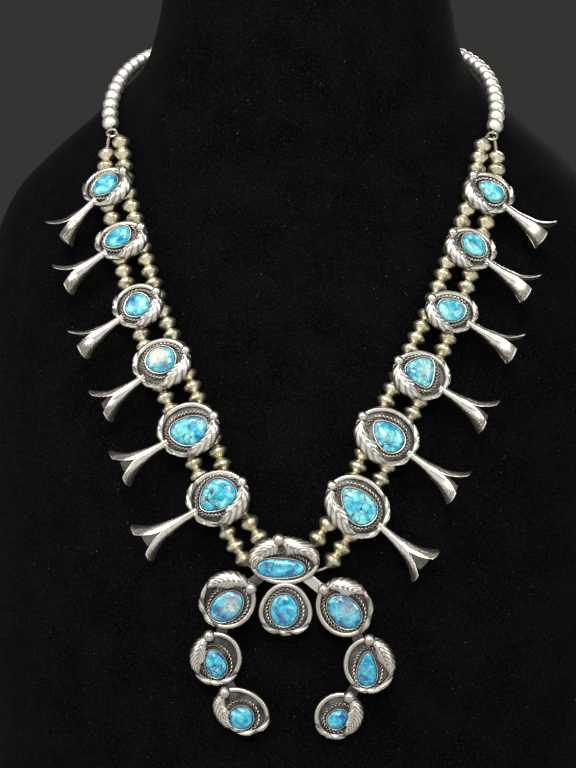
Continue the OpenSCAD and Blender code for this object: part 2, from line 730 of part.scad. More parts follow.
module blossom_node(side, i) {
    row = blossom_row(side, i);
    oval = row[PLATE];
    place = row[PLACE];
    ball_at = row[BALL];
    stem_at = row[STEM][0];
    edge = oval_r(oval, stem_at) - rim_d / 2;
    color(SILVER) {
        at_station(side, i)
            translate([place[0], place[1], 0]) {
                plate(oval);
                rim(oval, ball_at - 12, -84);
                bezel(row);
                leaf(row, ball_at + 10, 268);
                ball(oval, ball_at);
                translate([edge * cos(stem_at), edge * sin(stem_at), plate_t])
                    rotate([0, 0, stem_at])
                        rotate([0, 90, 0])
                            blossom(row[STEM][1] - edge);
            }
        loop_bar(side, i);
        loop(side, false, i);
        loop(side, true, i);
    }
}

module stone_node(side, i) {
    row = blossom_row(side, i);
    place = row[PLACE];
    color(TURQUOISE)
        at_station(side, i)
            translate([place[0], place[1], 0])
                stone(row);
}

// The pendant

PENDANT_ROWS = concat([PENDANT_TOP, PENDANT_DROP], PENDANT_ARMS);

module on_pendant_frame() {
    a = pendant_axes();
    multmatrix(frame(a[0], a[1], a[2], PENDANT_PLACE))
        children();
}

module pendant_setting(row, with_ball) {
    oval = row[PLATE];
    translate([row[PLACE][0], row[PLACE][1], 0]) {
        plate(oval);
        rim(oval, row[RIM_ENDS][0], row[RIM_ENDS][1]);
        bezel(row);
        if (len(row[LEAF_ENDS]) > 0)
            leaf(row, row[LEAF_ENDS][0], row[LEAF_ENDS][1]);
        if (with_ball)
            ball(oval, row[BALL]);
    }
}

module link_bar(a, b) {
    d = b - a;
    translate([(a[0] + b[0]) / 2, (a[1] + b[1]) / 2, overlap - link_t / 2])
        rotate([0, 0, atan2(d[1], d[0])])
            cube([norm(d), link_w, link_t], center = true);
}

// A tube for a thread, on a web from the plate
module bail(up) {
    bail_r = hole_r + bail_wall;
    translate([0, up, 0])
        difference() {
            union() {
                translate([0, 0, -plate_depth])
                    rotate([0, 90, 0])
                        cylinder(r = bail_r, h = bail_length, center = true);
                translate([-bail_length / 2, -bail_wall, -plate_depth])
                    cube([bail_length, 2 * bail_wall, plate_depth + overlap]);
            }
            translate([0, 0, -plate_depth])
                rotate([0, 90, 0])
                    cylinder(r = hole_r, h = bail_length + 1, center = true);
        }
}

module pendant_frame() {
    color(SILVER)
        on_pendant_frame() {
            for (i = [0 : len(PENDANT_ROWS) - 1])
                pendant_setting(PENDANT_ROWS[i], i != 1);
            translate([PENDANT_TOP[PLACE][0], PENDANT_TOP[PLACE][1], 0])
                leaf(PENDANT_TOP, TOP_SECOND_LEAF[0], TOP_SECOND_LEAF[1]);
            for (pair = LINKS)
                link_bar(PENDANT_ROWS[pair[0]][PLACE], PENDANT_ROWS[pair[1]][PLACE]);
            bail(UPPER_BAIL);
            bail(LOWER_BAIL);
        }
}

module pendant_stone(i) {
    row = PENDANT_ROWS[i];
    color(TURQUOISE)
        on_pendant_frame()
            translate([row[PLACE][0], row[PLACE][1], 0])
                stone(row);
}

// The bust: sections from the top of the neck down to the base

bust_heights = concat(
    neck_rise * NECK_HEIGHTS,
    [for (i = [3 : -1 : 0]) NECK_ROUTE[i][2]], [JUNCTION[2], OUTER_START[0][2]],
    [for (p = OUTER_ROUTE) p[2]],
    -base_drop * BASE_DEPTHS
);
bust_sections = concat(NECK_SECTIONS, SHOULDER_SECTIONS, CHEST_SECTIONS, BASE_SECTIONS);
first_carried = len(NECK_SECTIONS) + len(SHOULDER_SECTIONS);

function bust_half_width(row) = neck_w / 2 + (chest_w - neck_w) / 2 * row[WIDE];

// The front of a section. A carried one passes its gap behind the outer strand's bead.
function bust_front(row, i) =
    let (
        p = OUTER_ROUTE[i - first_carried],
        behind = throat * row[WIDEST],
        share = is_string(row[FRONT]) ? sqrt(1 - pow(p[0] / bust_half_width(row), 2)) : 1
    )
    is_string(row[FRONT])
        ? behind + (-p[1] - (bead_r + rest_gap) * 1.02 - behind) / share
        : throat + (chest_front - throat) * row[FRONT];

module neck_bust() {
    color(VELVET)
        skin([
            for (i = [0 : len(bust_sections) - 1])
                let (
                    row = bust_sections[i],
                    w = bust_half_width(row),
                    middle = -throat * row[WIDEST],
                    before = bust_front(row, i) + middle,
                    behind = throat * row[BACK] - middle
                )
                [
                    for (k = [0 : BUST_SIDES - 1])
                        let (a = -360 * k / BUST_SIDES)
                        [w * cos(a), middle + sin(a) * (sin(a) < 0 ? before : behind), bust_heights[i]]
                ]
        ]);
}

// Moves the nape's points to the frame of the base
module standing() {
    translate([0, (chest_front - throat * BASE_SECTIONS[3][BACK]) / 2, base_drop])
        children();
}

standing() {
    for (s = SIDES, i = STATIONS) {
        blossom_node(s[1], i);
        stone_node(s[1], i);
    }
    pendant_frame();
    for (i = [0 : len(PENDANT_STONES) - 1])
        pendant_stone(i);
    for (s = SIDES) {
        strand_beads(s[1], false);
        strand_beads(s[1], true);
        neck_beads(s[1]);
        neck_thread(s[1]);
        jump_ring(s[1]);
    }
    strand_thread(false);  // outer_thread
    strand_thread(true);  // inner_thread
    clasp();
    neck_bust();
}
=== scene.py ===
"""Squash blossom necklace on its neck bust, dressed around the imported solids.

Silver settings with turquoise stones, leaves, twisted wire and flared blossoms sit on two strands of
bench-made beads, and a crescent pendant hangs between them. Tables and modelling are in millimetres and
degrees; `Bench.settle` brings each finished piece to metres, in the frame of the bust's base.
"""

from __future__ import annotations

import json
import logging
import math
import random
from contextlib import contextmanager
from dataclasses import dataclass, field
from enum import Enum
from typing import Callable, Iterable, Iterator, Sequence

import bmesh
import bpy
import numpy as np
from mathutils import Matrix, Vector
from mathutils.kdtree import KDTree

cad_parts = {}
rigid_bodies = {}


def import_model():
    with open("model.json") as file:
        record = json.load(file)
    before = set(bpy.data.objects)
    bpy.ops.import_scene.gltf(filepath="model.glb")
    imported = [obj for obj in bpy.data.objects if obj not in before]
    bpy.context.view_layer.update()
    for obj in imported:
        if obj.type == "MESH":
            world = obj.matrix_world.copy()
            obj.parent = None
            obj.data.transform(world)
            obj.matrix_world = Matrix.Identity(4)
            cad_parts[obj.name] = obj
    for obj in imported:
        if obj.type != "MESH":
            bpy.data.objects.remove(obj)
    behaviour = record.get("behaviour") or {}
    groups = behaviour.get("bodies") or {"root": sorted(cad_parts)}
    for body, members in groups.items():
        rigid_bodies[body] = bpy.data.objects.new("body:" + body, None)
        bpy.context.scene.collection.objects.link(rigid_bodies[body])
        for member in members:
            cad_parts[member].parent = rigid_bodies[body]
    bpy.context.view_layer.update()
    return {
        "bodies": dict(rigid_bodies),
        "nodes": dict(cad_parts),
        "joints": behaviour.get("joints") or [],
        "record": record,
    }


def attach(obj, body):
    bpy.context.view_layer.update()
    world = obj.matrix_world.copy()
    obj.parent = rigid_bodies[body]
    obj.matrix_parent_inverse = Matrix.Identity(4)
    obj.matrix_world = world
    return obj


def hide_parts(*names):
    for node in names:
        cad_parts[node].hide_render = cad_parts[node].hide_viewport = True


LOG = logging.getLogger("necklace")
MM = 0.001
BODY = "root"
NAPE = Vector((0.0, 71.73, 290.0))
LIE_DOWN = Matrix.Rotation(math.radians(90), 4, "Y")
# The number painted on each point: tarnish and patina on silver, chalk on stones, and painted shade on the
# silver's low and hidden parts.
MARKS_AND_SHADE = "tarnish"
TONE = "tone"
PALE = "pale"
Piece = bpy.types.Object
Vertex = bpy.types.MeshVertex
Socket = bpy.types.NodeSocket
Finish = bpy.types.Material
Point2 = tuple[float, float]
Point3 = tuple[float, float, float]
Colour = tuple[float, float, float]
Swells = tuple[tuple[int, float, float], ...]
Inputs = dict[str | int, object]


class Side(Enum):
    """The two halves of the necklace, by the way their X points."""

    LEFT = -1
    RIGHT = 1

    @property
    def word(self) -> str:
        """The half's name, as the nodes spell it."""
        return self.name.lower()


# Tools of the bench


def clamp(value: float, most: float = 1.0) -> float:
    """Keeps a value between nothing and its most."""
    return max(0.0, min(most, value))


def polar(radius: float, angle: float) -> Point2:
    """The point at a radius and an angle in degrees."""
    return radius * math.cos(math.radians(angle)), radius * math.sin(math.radians(angle))


def swell_at(swells: Swells, angle: float) -> float:
    """How an outline swells at an angle, from waves with their order, amount and phase."""
    return 1 + sum(much * math.cos(order * math.radians(angle - phase)) for order, much, phase in swells)


def matrix_of(x: Vector, y: Vector, z: Vector, place: Vector) -> Matrix:
    """A placing matrix with the given axes and origin."""
    rows = ((x.x, y.x, z.x, place.x), (x.y, y.y, z.y, place.y), (x.z, y.z, z.z, place.z), (0, 0, 0, 1))
    return Matrix(rows)


def along(way: Vector, place: Vector, hint: Vector) -> Matrix:
    """A placing matrix whose Z runs along a way and whose X lies near a hint.

    Args:
        way: Where its Z points.
        place: Its origin.
        hint: A direction that isn't along the way.

    Returns:
        The matrix.
    """
    z = way.normalized()
    y = z.cross(hint).normalized()
    return matrix_of(y.cross(z), y, z, place)


class Bench:
    """The modelling tools, used as by hand."""

    @staticmethod
    def clear() -> None:
        """Leaves nothing selected."""
        bpy.ops.object.select_all(action="DESELECT")

    @staticmethod
    def pick(obj: Piece) -> None:
        """Selects one object alone and makes it active.

        Args:
            obj: The object to work on.
        """
        Bench.clear()
        obj.select_set(True)
        bpy.context.view_layer.objects.active = obj

    @staticmethod
    @contextmanager
    def edit(obj: Piece) -> Iterator[None]:
        """Opens a piece for editing, selected all over, and closes it with its faces outwards.

        Args:
            obj: The piece.

        Yields:
            Nothing.
        """
        Bench.pick(obj)
        bpy.ops.object.mode_set(mode="EDIT")
        bpy.ops.mesh.select_all(action="SELECT")
        yield
        bpy.ops.object.mode_set(mode="OBJECT")
        Bench.face_out(obj)

    @staticmethod
    def face_out(obj: Piece) -> None:
        """Turns a piece's faces outwards.

        Args:
            obj: The piece.
        """
        Bench.pick(obj)
        bpy.ops.object.mode_set(mode="EDIT")
        bpy.ops.mesh.select_all(action="SELECT")
        bpy.ops.mesh.normals_make_consistent(inside=False)
        bpy.ops.object.mode_set(mode="OBJECT")

    @staticmethod
    def hang(name: str, data: bpy.types.ID) -> Piece:
        """Puts a new object in the scene.

        Args:
            name: Its name.
            data: Its mesh, curve, light or camera.

        Returns:
            The new object.
        """
        obj = bpy.data.objects.new(name, data)
        bpy.context.scene.collection.objects.link(obj)
        return obj

    @staticmethod
    def add(kind: str, **sizes: object) -> Piece:
        """Adds a mesh primitive at the origin.

        Args:
            kind: The primitive's name.
            sizes: Its sizes by name.

        Returns:
            The new object.
        """
        Bench.clear()
        getattr(bpy.ops.mesh, f"primitive_{kind}_add")(**sizes)
        return bpy.context.object

    @staticmethod
    def outline(points: Sequence[Point2], fill: str = "NGON") -> Piece:
        """Adds a circle primitive and moves its points onto an outline.

        Args:
            points: The outline.
            fill: The primitive's word for a face, or for none.

        Returns:
            The new object.
        """
        flat = Bench.add("circle", vertices=len(points), radius=1.0, fill_type=fill)
        for vertex, point in zip(flat.data.vertices, points):
            vertex.co.x, vertex.co.y = point
        return flat

    @staticmethod
    def box(size: Point3) -> Piece:
        """Adds a box round the origin.

        Args:
            size: Its length, width and height.

        Returns:
            The new object.
        """
        box = Bench.add("cube", size=1.0)
        box.scale = size
        bpy.ops.object.transform_apply(location=False, rotation=False, scale=True)
        return box

    @staticmethod
    def raise_edges(obj: Piece, steps: Iterable[Point2], centre: Point2 = (0.0, 0.0)) -> None:
        """Extrudes a flat primitive upwards in steps, each scaled about a centre.

        Args:
            obj: The primitive.
            steps: Rise and scale of each step.
            centre: The point to scale about.
        """
        with Bench.edit(obj):
            for rise, scale in steps:
                bpy.ops.mesh.extrude_region_move(TRANSFORM_OT_translate={"value": (0.0, 0.0, rise)})
                if scale != 1.0:
                    bpy.ops.transform.resize(value=(scale, scale, 1.0), center_override=(*centre, 0.0))

    @staticmethod
    def modify(obj: Piece, kind: str, **settings: object) -> None:
        """Adds a modifier and applies it.

        Args:
            obj: The piece.
            kind: The modifier's type.
            settings: Its values by name.
        """
        Bench.pick(obj)
        modifier = obj.modifiers.new(kind.title(), kind)
        for name, value in settings.items():
            setattr(modifier, name, value)
        bpy.ops.object.modifier_apply(modifier=modifier.name)

    @staticmethod
    def soften(obj: Piece, width: float, segments: int = 2, angle: float = 30.0) -> None:
        """Rounds the edges that are sharper than an angle."""
        limit = {"limit_method": "ANGLE", "angle_limit": math.radians(angle)}
        Bench.modify(obj, "BEVEL", width=width, segments=segments, **limit)

    @staticmethod
    def lay(obj: Piece, matrix: Matrix) -> Piece:
        """Moves a piece's mesh, and keeps its faces outwards when the move mirrors it.

        Args:
            obj: The piece.
            matrix: Where it goes.

        Returns:
            The same object.
        """
        obj.data.transform(matrix)
        if matrix.to_3x3().determinant() < 0:
            obj.data.flip_normals()
        return obj

    @staticmethod
    def shift(obj: Piece, x: float, y: float, z: float) -> Piece:
        """Moves a piece's mesh without turning it."""
        return Bench.lay(obj, Matrix.Translation((x, y, z)))

    @staticmethod
    def join(pieces: Sequence[Piece], name: str) -> Piece:
        """Joins pieces into one.

        Args:
            pieces: The meshes, two or more.
            name: The joined object's name.

        Returns:
            The joined object.
        """
        Bench.pick(pieces[0])
        for piece in pieces[1:]:
            piece.select_set(True)
        bpy.ops.object.join()
        joined = bpy.context.object
        joined.name = joined.data.name = name
        return joined

    @staticmethod
    def paint(obj: Piece, layer: str, value: float | Callable[[Vertex], float]) -> None:
        """Writes a number to every point of a piece, for its finish to read.

        Args:
            obj: The piece.
            layer: The attribute's name.
            value: The number, or a function of the point.
        """
        attribute = obj.data.attributes.get(layer) or obj.data.attributes.new(layer, "FLOAT", "POINT")
        for vertex in obj.data.vertices:
            attribute.data[vertex.index].value = value(vertex) if callable(value) else value

    @staticmethod
    def settle(obj: Piece, node: str, slot: str, finish: Finish, angle: float = 40.0) -> None:
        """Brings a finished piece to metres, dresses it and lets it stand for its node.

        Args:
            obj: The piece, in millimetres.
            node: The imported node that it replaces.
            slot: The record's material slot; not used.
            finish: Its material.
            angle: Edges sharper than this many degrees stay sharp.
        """
        obj.data.transform(Matrix.Scale(MM, 4))
        Bench.pick(obj)
        bpy.ops.object.shade_smooth_by_angle(angle=math.radians(angle))
        obj.data.materials.clear()
        obj.data.materials.append(finish)
        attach(obj, BODY)
        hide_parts(node)
        LOG.info("%s: %d faces", obj.name, len(obj.data.polygons))


@dataclass
class Wire:
    """A wire bent along points, round by its radius or with a section of its own."""

    points: Sequence[Vector]
    radius: float = 0.0
    section: Sequence[Point2] = ()
    closed: bool = False
    turn_length: float = 0.0
    swell: Callable[[float], float] = lambda share: 1.0
    rounding: int = 4
    weld: float = 0.002

    @staticmethod
    def _curve(points: Sequence[Vector], closed: bool) -> Piece:
        """Makes a curve object through points.

        Args:
            points: Its points.
            closed: Whether it closes on itself.

        Returns:
            The curve object.
        """
        data = bpy.data.curves.new("wire", "CURVE")
        data.dimensions = "3D"
        data.twist_mode = "Z_UP"
        spline = data.splines.new("POLY")
        spline.points.add(len(points) - 1)
        for place, point in zip(spline.points, points):
            place.co = (*point, 1.0)
        spline.use_cyclic_u = closed
        return Bench.hang("wire", data)

    def make(self) -> Piece:
        """Bends the wire and turns it into a mesh.

        Returns:
            The wire as a mesh object.
        """
        wire = self._curve(self.points, self.closed)
        data, run = wire.data, 0.0
        for index, place in enumerate(data.splines[0].points):
            if index:
                run += (self.points[index] - self.points[index - 1]).length
            if self.turn_length:
                place.tilt = 2 * math.pi * run / self.turn_length
            place.radius = self.swell(index / (len(self.points) - 1))
        profile = None
        if self.section:
            profile = self._curve([Vector((*point, 0.0)) for point in self.section], True)
            data.bevel_mode = "OBJECT"
            data.bevel_object = profile
        else:
            data.bevel_depth = self.radius
            data.bevel_resolution = self.rounding
        data.use_fill_caps = True
        Bench.pick(wire)
        bpy.ops.object.convert(target="MESH")
        wire = bpy.context.object
        if profile:
            bpy.data.objects.remove(profile)
        with Bench.edit(wire):
            bpy.ops.mesh.remove_doubles(threshold=self.weld)
        return wire


# Finishes


class Graph:
    """A short hand for wiring a material's nodes.

    Inputs are given by name or number, each a socket or a plain number, vector or colour.
    """

    def __init__(self, name: str) -> None:
        """Starts a material with one shader.

        Args:
            name: The material's name.
        """
        self.material = bpy.data.materials.new(name)
        self.material.use_nodes = True
        self.tree = self.material.node_tree
        self.tree.nodes.clear()
        self.shader = self.node("BsdfPrincipled", {})
        self.node("OutputMaterial", {"Surface": self.shader.outputs[0]})
        self.place = self.node("TexCoord", {}).outputs["Object"]

    def put(self, socket: Socket, value: object) -> None:
        """Links an input or sets its value; none leaves it as it is.

        Args:
            socket: The input.
            value: Its socket, number, vector or colour.
        """
        if isinstance(value, Socket):
            self.tree.links.new(value, socket)
        elif value is not None:
            socket.default_value = (*value, 1.0) if socket.type == "RGBA" else value

    def node(self, kind: str, inputs: Inputs, **settings: object) -> bpy.types.Node:
        """Adds a node.

        Args:
            kind: The node's type.
            inputs: Its inputs.
            settings: Its properties by name.

        Returns:
            The node.
        """
        node = self.tree.nodes.new(f"ShaderNode{kind}")
        for name, value in settings.items():
            setattr(node, name, value)
        for name, value in inputs.items():
            self.put(node.inputs[name], value)
        return node

    def noise(
        self, waves: float, detail: float = 3.0, rough: float = 0.5, warp: float = 0.0, output: str = "Fac"
    ) -> Socket:
        """Noise on the piece's own place, with its waves to a metre, octaves, grit and distortion."""
        grain = {"Detail": detail, "Roughness": rough, "Distortion": warp}
        return self.node("TexNoise", {"Vector": self.place, "Scale": waves, **grain}).outputs[output]

    def attribute(self, name: str) -> Socket:
        """A number that a piece carries on its points."""
        return self.node("Attribute", {}, attribute_name=name).outputs["Fac"]

    def span(self, value: object, old: Point2, new: Point2 = (0.0, 1.0)) -> Socket:
        """A value mapped from an old span to a new one, clamped."""
        ends = {"From Min": old[0], "From Max": old[1], "To Min": new[0], "To Max": new[1]}
        return self.node("MapRange", {"Value": value, **ends}).outputs["Result"]

    def math(self, operation: str, first: object, second: object) -> Socket:
        """The result of an operation on two inputs."""
        return self.node("Math", {0: first, 1: second}, operation=operation).outputs[0]

    def mix(self, share: object, first: object, second: object) -> Socket:
        """Mixes two colours.

        Args:
            share: How much of the second.
            first: A colour.
            second: A colour.

        Returns:
            The mixed colour.
        """
        node = self.node("Mix", {"Factor": share}, data_type="RGBA")
        for socket, value in zip([s for s in node.inputs if s.type == "RGBA"], (first, second)):
            self.put(socket, value)
        return next(s for s in node.outputs if s.type == "RGBA")

    def bump(self, height: object, depth: float, strength: float, under: Socket | None = None) -> Socket:
        """The normal of a height, for its depth in metres, strength and the relief under it."""
        inputs = {"Height": height, "Distance": depth, "Strength": strength, "Normal": under}
        return self.node("Bump", inputs).outputs["Normal"]

    def surface(self, inputs: Inputs) -> Finish:
        """Ends the material with its shader's inputs.

        Args:
            inputs: The shader's inputs.

        Returns:
            The material.
        """
        for name, value in inputs.items():
            self.put(self.shader.inputs[name], value)
        return self.material


@dataclass(frozen=True)
class SilverFinish:
    """Silver that is polished on its high parts and dark in its recesses, from patina and painted shade.
    Waves are counted to a metre.
    """

    name: str
    bright: Colour
    warm: Colour
    rough: float
    dark: Colour = (0.028, 0.026, 0.027)
    tone_share: float = 0.5
    recess: float = 0.0011
    open_to_deep: Point2 = (0.62, 0.16)
    deep_tarnish: float = 0.85
    cloud_waves: float = 210.0
    tarnish_clouds: Point2 = (0.25, 0.6)
    thin_tarnish: float = 0.8
    warm_clouds: Point2 = (0.35, 0.7)
    scratch_waves: float = 2600.0
    scratched: Point2 = (0.3, 0.8)
    scratch_rough: float = 0.14
    scratch_depth: float = 0.00002
    tarnish_rough: float = 0.14
    hammer_waves: float = 480.0
    hammer_depth: float = 0.00022

    def make(self) -> Finish:
        """Builds the material.

        Returns:
            The material.
        """
        g = Graph(self.name)
        cloud = g.noise(self.cloud_waves, 4.0, 0.55)
        scratches = g.noise(self.scratch_waves, 2.0, 0.6, 1.5)
        # Patina and painted shade: ambient occlusion darkens the recesses towards the dark colour.
        hollow = g.node("AmbientOcclusion", {"Distance": self.recess}, samples=6).outputs["AO"]
        crease = g.span(hollow, self.open_to_deep, (0.0, self.deep_tarnish))
        clouded = g.span(cloud, self.tarnish_clouds, (self.thin_tarnish, 1.0))
        # The painted number brings tarnish and patina, and the painted shade laid on flanks, undersides and
        # hidden parts.
        patch = g.math("MULTIPLY", g.attribute(MARKS_AND_SHADE), clouded)
        tarnish = g.math("MINIMUM", g.math("MAXIMUM", patch, crease), 1.0)
        metal = g.mix(g.span(cloud, self.warm_clouds), self.bright, self.warm)
        metal = g.mix(g.math("MULTIPLY", g.attribute(TONE), self.tone_share), metal, self.warm)
        worn = g.span(scratches, self.scratched, (0.0, self.scratch_rough))
        worn = g.math("ADD", worn, g.math("MULTIPLY", tarnish, self.tarnish_rough))
        hammered = g.bump(g.noise(self.hammer_waves, 2.0), self.hammer_depth, 0.35)
        return g.surface({
            "Base Color": g.mix(tarnish, metal, self.dark),
            "Metallic": 1.0,
            "Roughness": g.math("ADD", worn, self.rough),
            "Normal": g.bump(scratches, self.scratch_depth, 0.5, hammered),
        })


@dataclass(frozen=True)
class TurquoiseFinish:
    """Polished turquoise with dark veins, brown pits and pale chalk. Waves are counted to a metre.

    A stone's TONE thins or thickens its veins and pits, PALE lightens its blue, and MARKS_AND_SHADE is its chalk.
    """

    name: str = "turquoise"
    deep: Colour = (0.004, 0.1, 0.3)
    sky: Colour = (0.03, 0.41, 0.6)
    light: Colour = (0.27, 0.77, 0.74)
    vein: Colour = (0.012, 0.014, 0.018)
    pit: Colour = (0.17, 0.09, 0.08)
    chalk: Colour = (0.66, 0.62, 0.52)
    blue_waves: float = 300.0
    deep_to_sky: Point2 = (0.38, 0.5)
    sky_to_light: Point2 = (0.52, 0.68)
    tones: Point2 = (-0.8, 0.5)
    fewest_veins: float = 0.12
    bend_waves: float = 420.0
    bend: float = 0.0032
    vein_cells: float = 300.0
    vein_edge: Point2 = (0.075, 0.015)
    vein_waves: float = 260.0
    veined: Point2 = (0.44, 0.6)
    pit_waves: float = 430.0
    pitted: Point2 = (0.56, 0.64)
    chalk_waves: float = 700.0
    chalked: Point2 = (0.28, 0.5)
    polish: Point2 = (0.13, 0.4)
    dent_waves: float = 300.0
    dent_depth: float = 0.00016

    def make(self) -> Finish:
        """Builds the material.

        Returns:
            The material.
        """
        g = Graph(self.name)
        blue = g.math("ADD", g.noise(self.blue_waves, 5.0, 0.62, 0.5), g.attribute(PALE))
        colour = g.mix(g.span(blue, self.deep_to_sky), self.deep, self.sky)
        colour = g.mix(g.span(blue, self.sky_to_light), colour, self.light)
        bends = {0: g.noise(self.bend_waves, output="Color"), 1: (self.bend,) * 3, 2: g.place}
        bent = g.node("VectorMath", bends, operation="MULTIPLY_ADD").outputs[0]
        cells = {"Vector": bent, "Scale": self.vein_cells}
        edge = g.node("TexVoronoi", cells, feature="DISTANCE_TO_EDGE").outputs["Distance"]
        amount = g.span(g.attribute(TONE), self.tones, (self.fewest_veins, 1.0))
        gate = g.math("MULTIPLY", g.span(g.noise(self.vein_waves, 2.0), self.veined), amount)
        veins = g.math("MULTIPLY", g.span(edge, self.vein_edge), gate)
        pits = g.span(g.noise(self.pit_waves, 4.0, 0.68, 0.8), self.pitted)
        pits = g.math("MULTIPLY", pits, amount)
        colour = g.mix(veins, g.mix(pits, colour, self.pit), self.vein)
        chalk = g.span(g.noise(self.chalk_waves, 4.0), self.chalked)
        chalk = g.math("MULTIPLY", g.attribute(MARKS_AND_SHADE), chalk)
        sunk = g.math("MULTIPLY", g.math("MAXIMUM", veins, pits), 0.5)
        dents = g.math("SUBTRACT", g.noise(self.dent_waves, 2.0), sunk)
        return g.surface({
            "Base Color": g.mix(chalk, colour, self.chalk),
            "Roughness": g.span(pits, (0.0, 1.0), self.polish),
            "IOR": 1.61,
            "Coat Weight": 0.35,
            "Coat Roughness": 0.08,
            "Normal": g.bump(dents, self.dent_depth, 0.6),
        })


@dataclass(frozen=True)
class VelvetFinish:
    """Black velvet with lint in its pile. Waves are counted to a metre."""

    name: str = "velvet"
    pile: Colour = (0.0008, 0.0008, 0.0009)
    brushed: Colour = (0.0024, 0.0024, 0.0027)
    tuft: Colour = (0.013, 0.013, 0.0132)
    lint: Colour = (0.07, 0.068, 0.066)
    nap_waves: float = 60.0
    napped: Point2 = (0.35, 0.7)
    fuzz_waves: float = 1500.0
    fuzzy: Point2 = (0.5, 0.74)
    most_fuzz: float = 0.7
    fuzz_depth: float = 0.0006
    lint_cells: float = 420.0
    lint_size: Point2 = (0.13, 0.05)
    lint_waves: float = 900.0
    linty: Point2 = (0.56, 0.66)

    def make(self) -> Finish:
        """Builds the material.

        Returns:
            The material.
        """
        g = Graph(self.name)
        fuzz = g.noise(self.fuzz_waves, 3.0, 0.7)
        cells = {"Vector": g.place, "Scale": self.lint_cells}
        dust = g.node("TexVoronoi", cells, feature="F1").outputs["Distance"]
        gate = g.span(g.noise(self.lint_waves, 2.0), self.linty)
        specks = g.math("MULTIPLY", g.span(dust, self.lint_size), gate)
        nap = g.span(g.noise(self.nap_waves, 3.0, 0.6), self.napped)
        tufts = g.span(fuzz, self.fuzzy, (0.0, self.most_fuzz))
        colour = g.mix(tufts, g.mix(nap, self.pile, self.brushed), self.tuft)
        return g.surface({
            "Base Color": g.mix(specks, colour, self.lint),
            "Roughness": 1.0,
            "Specular IOR Level": 0.03,
            "Sheen Weight": 0.012,
            "Sheen Roughness": 0.45,
            "Normal": g.bump(fuzz, self.fuzz_depth, 0.7),
        })


# Where the settings sit


@dataclass(frozen=True)
class Strands:
    """The chosen points of the two front strands on the right half, from the nape.

    Each strand has six stations, with one more point before the first and one after the last.
    """

    outer: tuple[Point3, ...] = (
        (73, -81, -49), (72.5, -88, -61), (66.5, -101, -81), (59.5, -113, -104),
        (50.5, -124, -126), (39.5, -133, -148), (28.5, -140, -171), (18.5, -143.5, -188),
    )
    inner: tuple[Point3, ...] = (
        (66.6, -83.8, -49), (64.3, -91, -61), (57.3, -104, -81), (48.8, -115.5, -104),
        (38.6, -126.5, -126), (28.5, -135, -148), (19, -141.5, -171), (12, -143.7, -182),
    )

    def point(self, side: Side, inner: bool, station: int) -> Vector:
        """Where a strand passes a station, counted from 1."""
        x, y, z = (self.inner if inner else self.outer)[station]
        return NAPE + Vector((side.value * x, y, z))

    def way(self, side: Side, inner: bool, station: int) -> Vector:
        """The strand's direction at a station."""
        before, here, after = (self.point(side, inner, station + step) for step in (-1, 0, 1))
        return ((here - before).normalized() + (after - here).normalized()).normalized()

    def axes(self, side: Side, station: int) -> tuple[Vector, Vector, Vector]:
        """Finds right, up and front at a station, on the strands' surface.

        Args:
            side: The half.
            station: The station's number.

        Returns:
            The three directions.
        """
        across = (self.point(side, True, station) - self.point(side, False, station)).normalized()
        front = self.way(side, False, station).cross(across).normalized()
        front = front if front.y < 0 else -front
        up = (Vector((0, 0, 1)) - front * front.z).normalized()
        return up.cross(front), up, front


# Forms of a setting


@dataclass(frozen=True)
class Oval:
    """The outline of a back plate."""

    width: float
    height: float
    turn: float
    swells: Swells = ()

    def reach(self, angle: float) -> float:
        """Measures the outline from its centre.

        Args:
            angle: The angle to measure at.

        Returns:
            The distance.
        """
        w, h = self.width / 2, self.height / 2
        across, up = polar(1.0, angle - self.turn)
        return swell_at(self.swells, angle) * w * h / math.hypot(h * across, w * up)

    def points(self, inset: float, sides: int) -> list[Point2]:
        """The outline's points, moved in by an inset."""
        return [polar(self.reach(360 * k / sides) - inset, 360 * k / sides) for k in range(sides)]


@dataclass(frozen=True)
class StoneCut:
    """A stone's outline on its plate: a tapered oval, with swells of its own.

    Its chalk is the strength of a pale patch, and its tone, from -1 to 1, how veined it is.
    """

    x: float
    y: float
    width: float
    height: float
    turn: float
    taper: float
    swells: Swells = ()
    chalk: float = 0.0
    tone: float = 0.0

    def points(self, margin: float, sides: int) -> list[Point2]:
        """Lists the outline's points, grown by a margin.

        Args:
            margin: How far it grows.
            sides: Number of points.

        Returns:
            The points on the plate.
        """
        w, h = self.width / 2, self.height / 2
        cos_turn, sin_turn = polar(1.0, self.turn)
        found = []
        for k in range(sides):
            angle = 360 * k / sides
            across, up = polar(1.0, angle)
            swell = swell_at(self.swells, angle)
            out = Vector((across / w, up / h)).normalized()
            px = w * across * swell + out.x * margin
            py = h * up * swell * (1 - self.taper * across) + out.y * margin
            found.append((self.x + px * cos_turn - py * sin_turn, self.y + px * sin_turn + py * cos_turn))
        return found

    def reach(self, margin: float, angle: float, sides: int = 48) -> float:
        """Measures the grown outline from the plate's centre.

        Args:
            margin: How far the outline grows.
            angle: The angle to measure at.
            sides: Number of points of the outline.

        Returns:
            The distance.
        """
        points = self.points(margin, sides)
        ux, uy = polar(1.0, angle)
        best = 0.0
        for (ax, ay), (bx, by) in zip(points, points[1:] + points[:1]):
            ca, cb = ux * ay - uy * ax, ux * by - uy * bx
            if ca * cb <= 0 and ca != cb:
                t = ca / (ca - cb)
                best = max(best, (ax + (bx - ax) * t) * ux + (ay + (by - ay) * t) * uy)
        return best


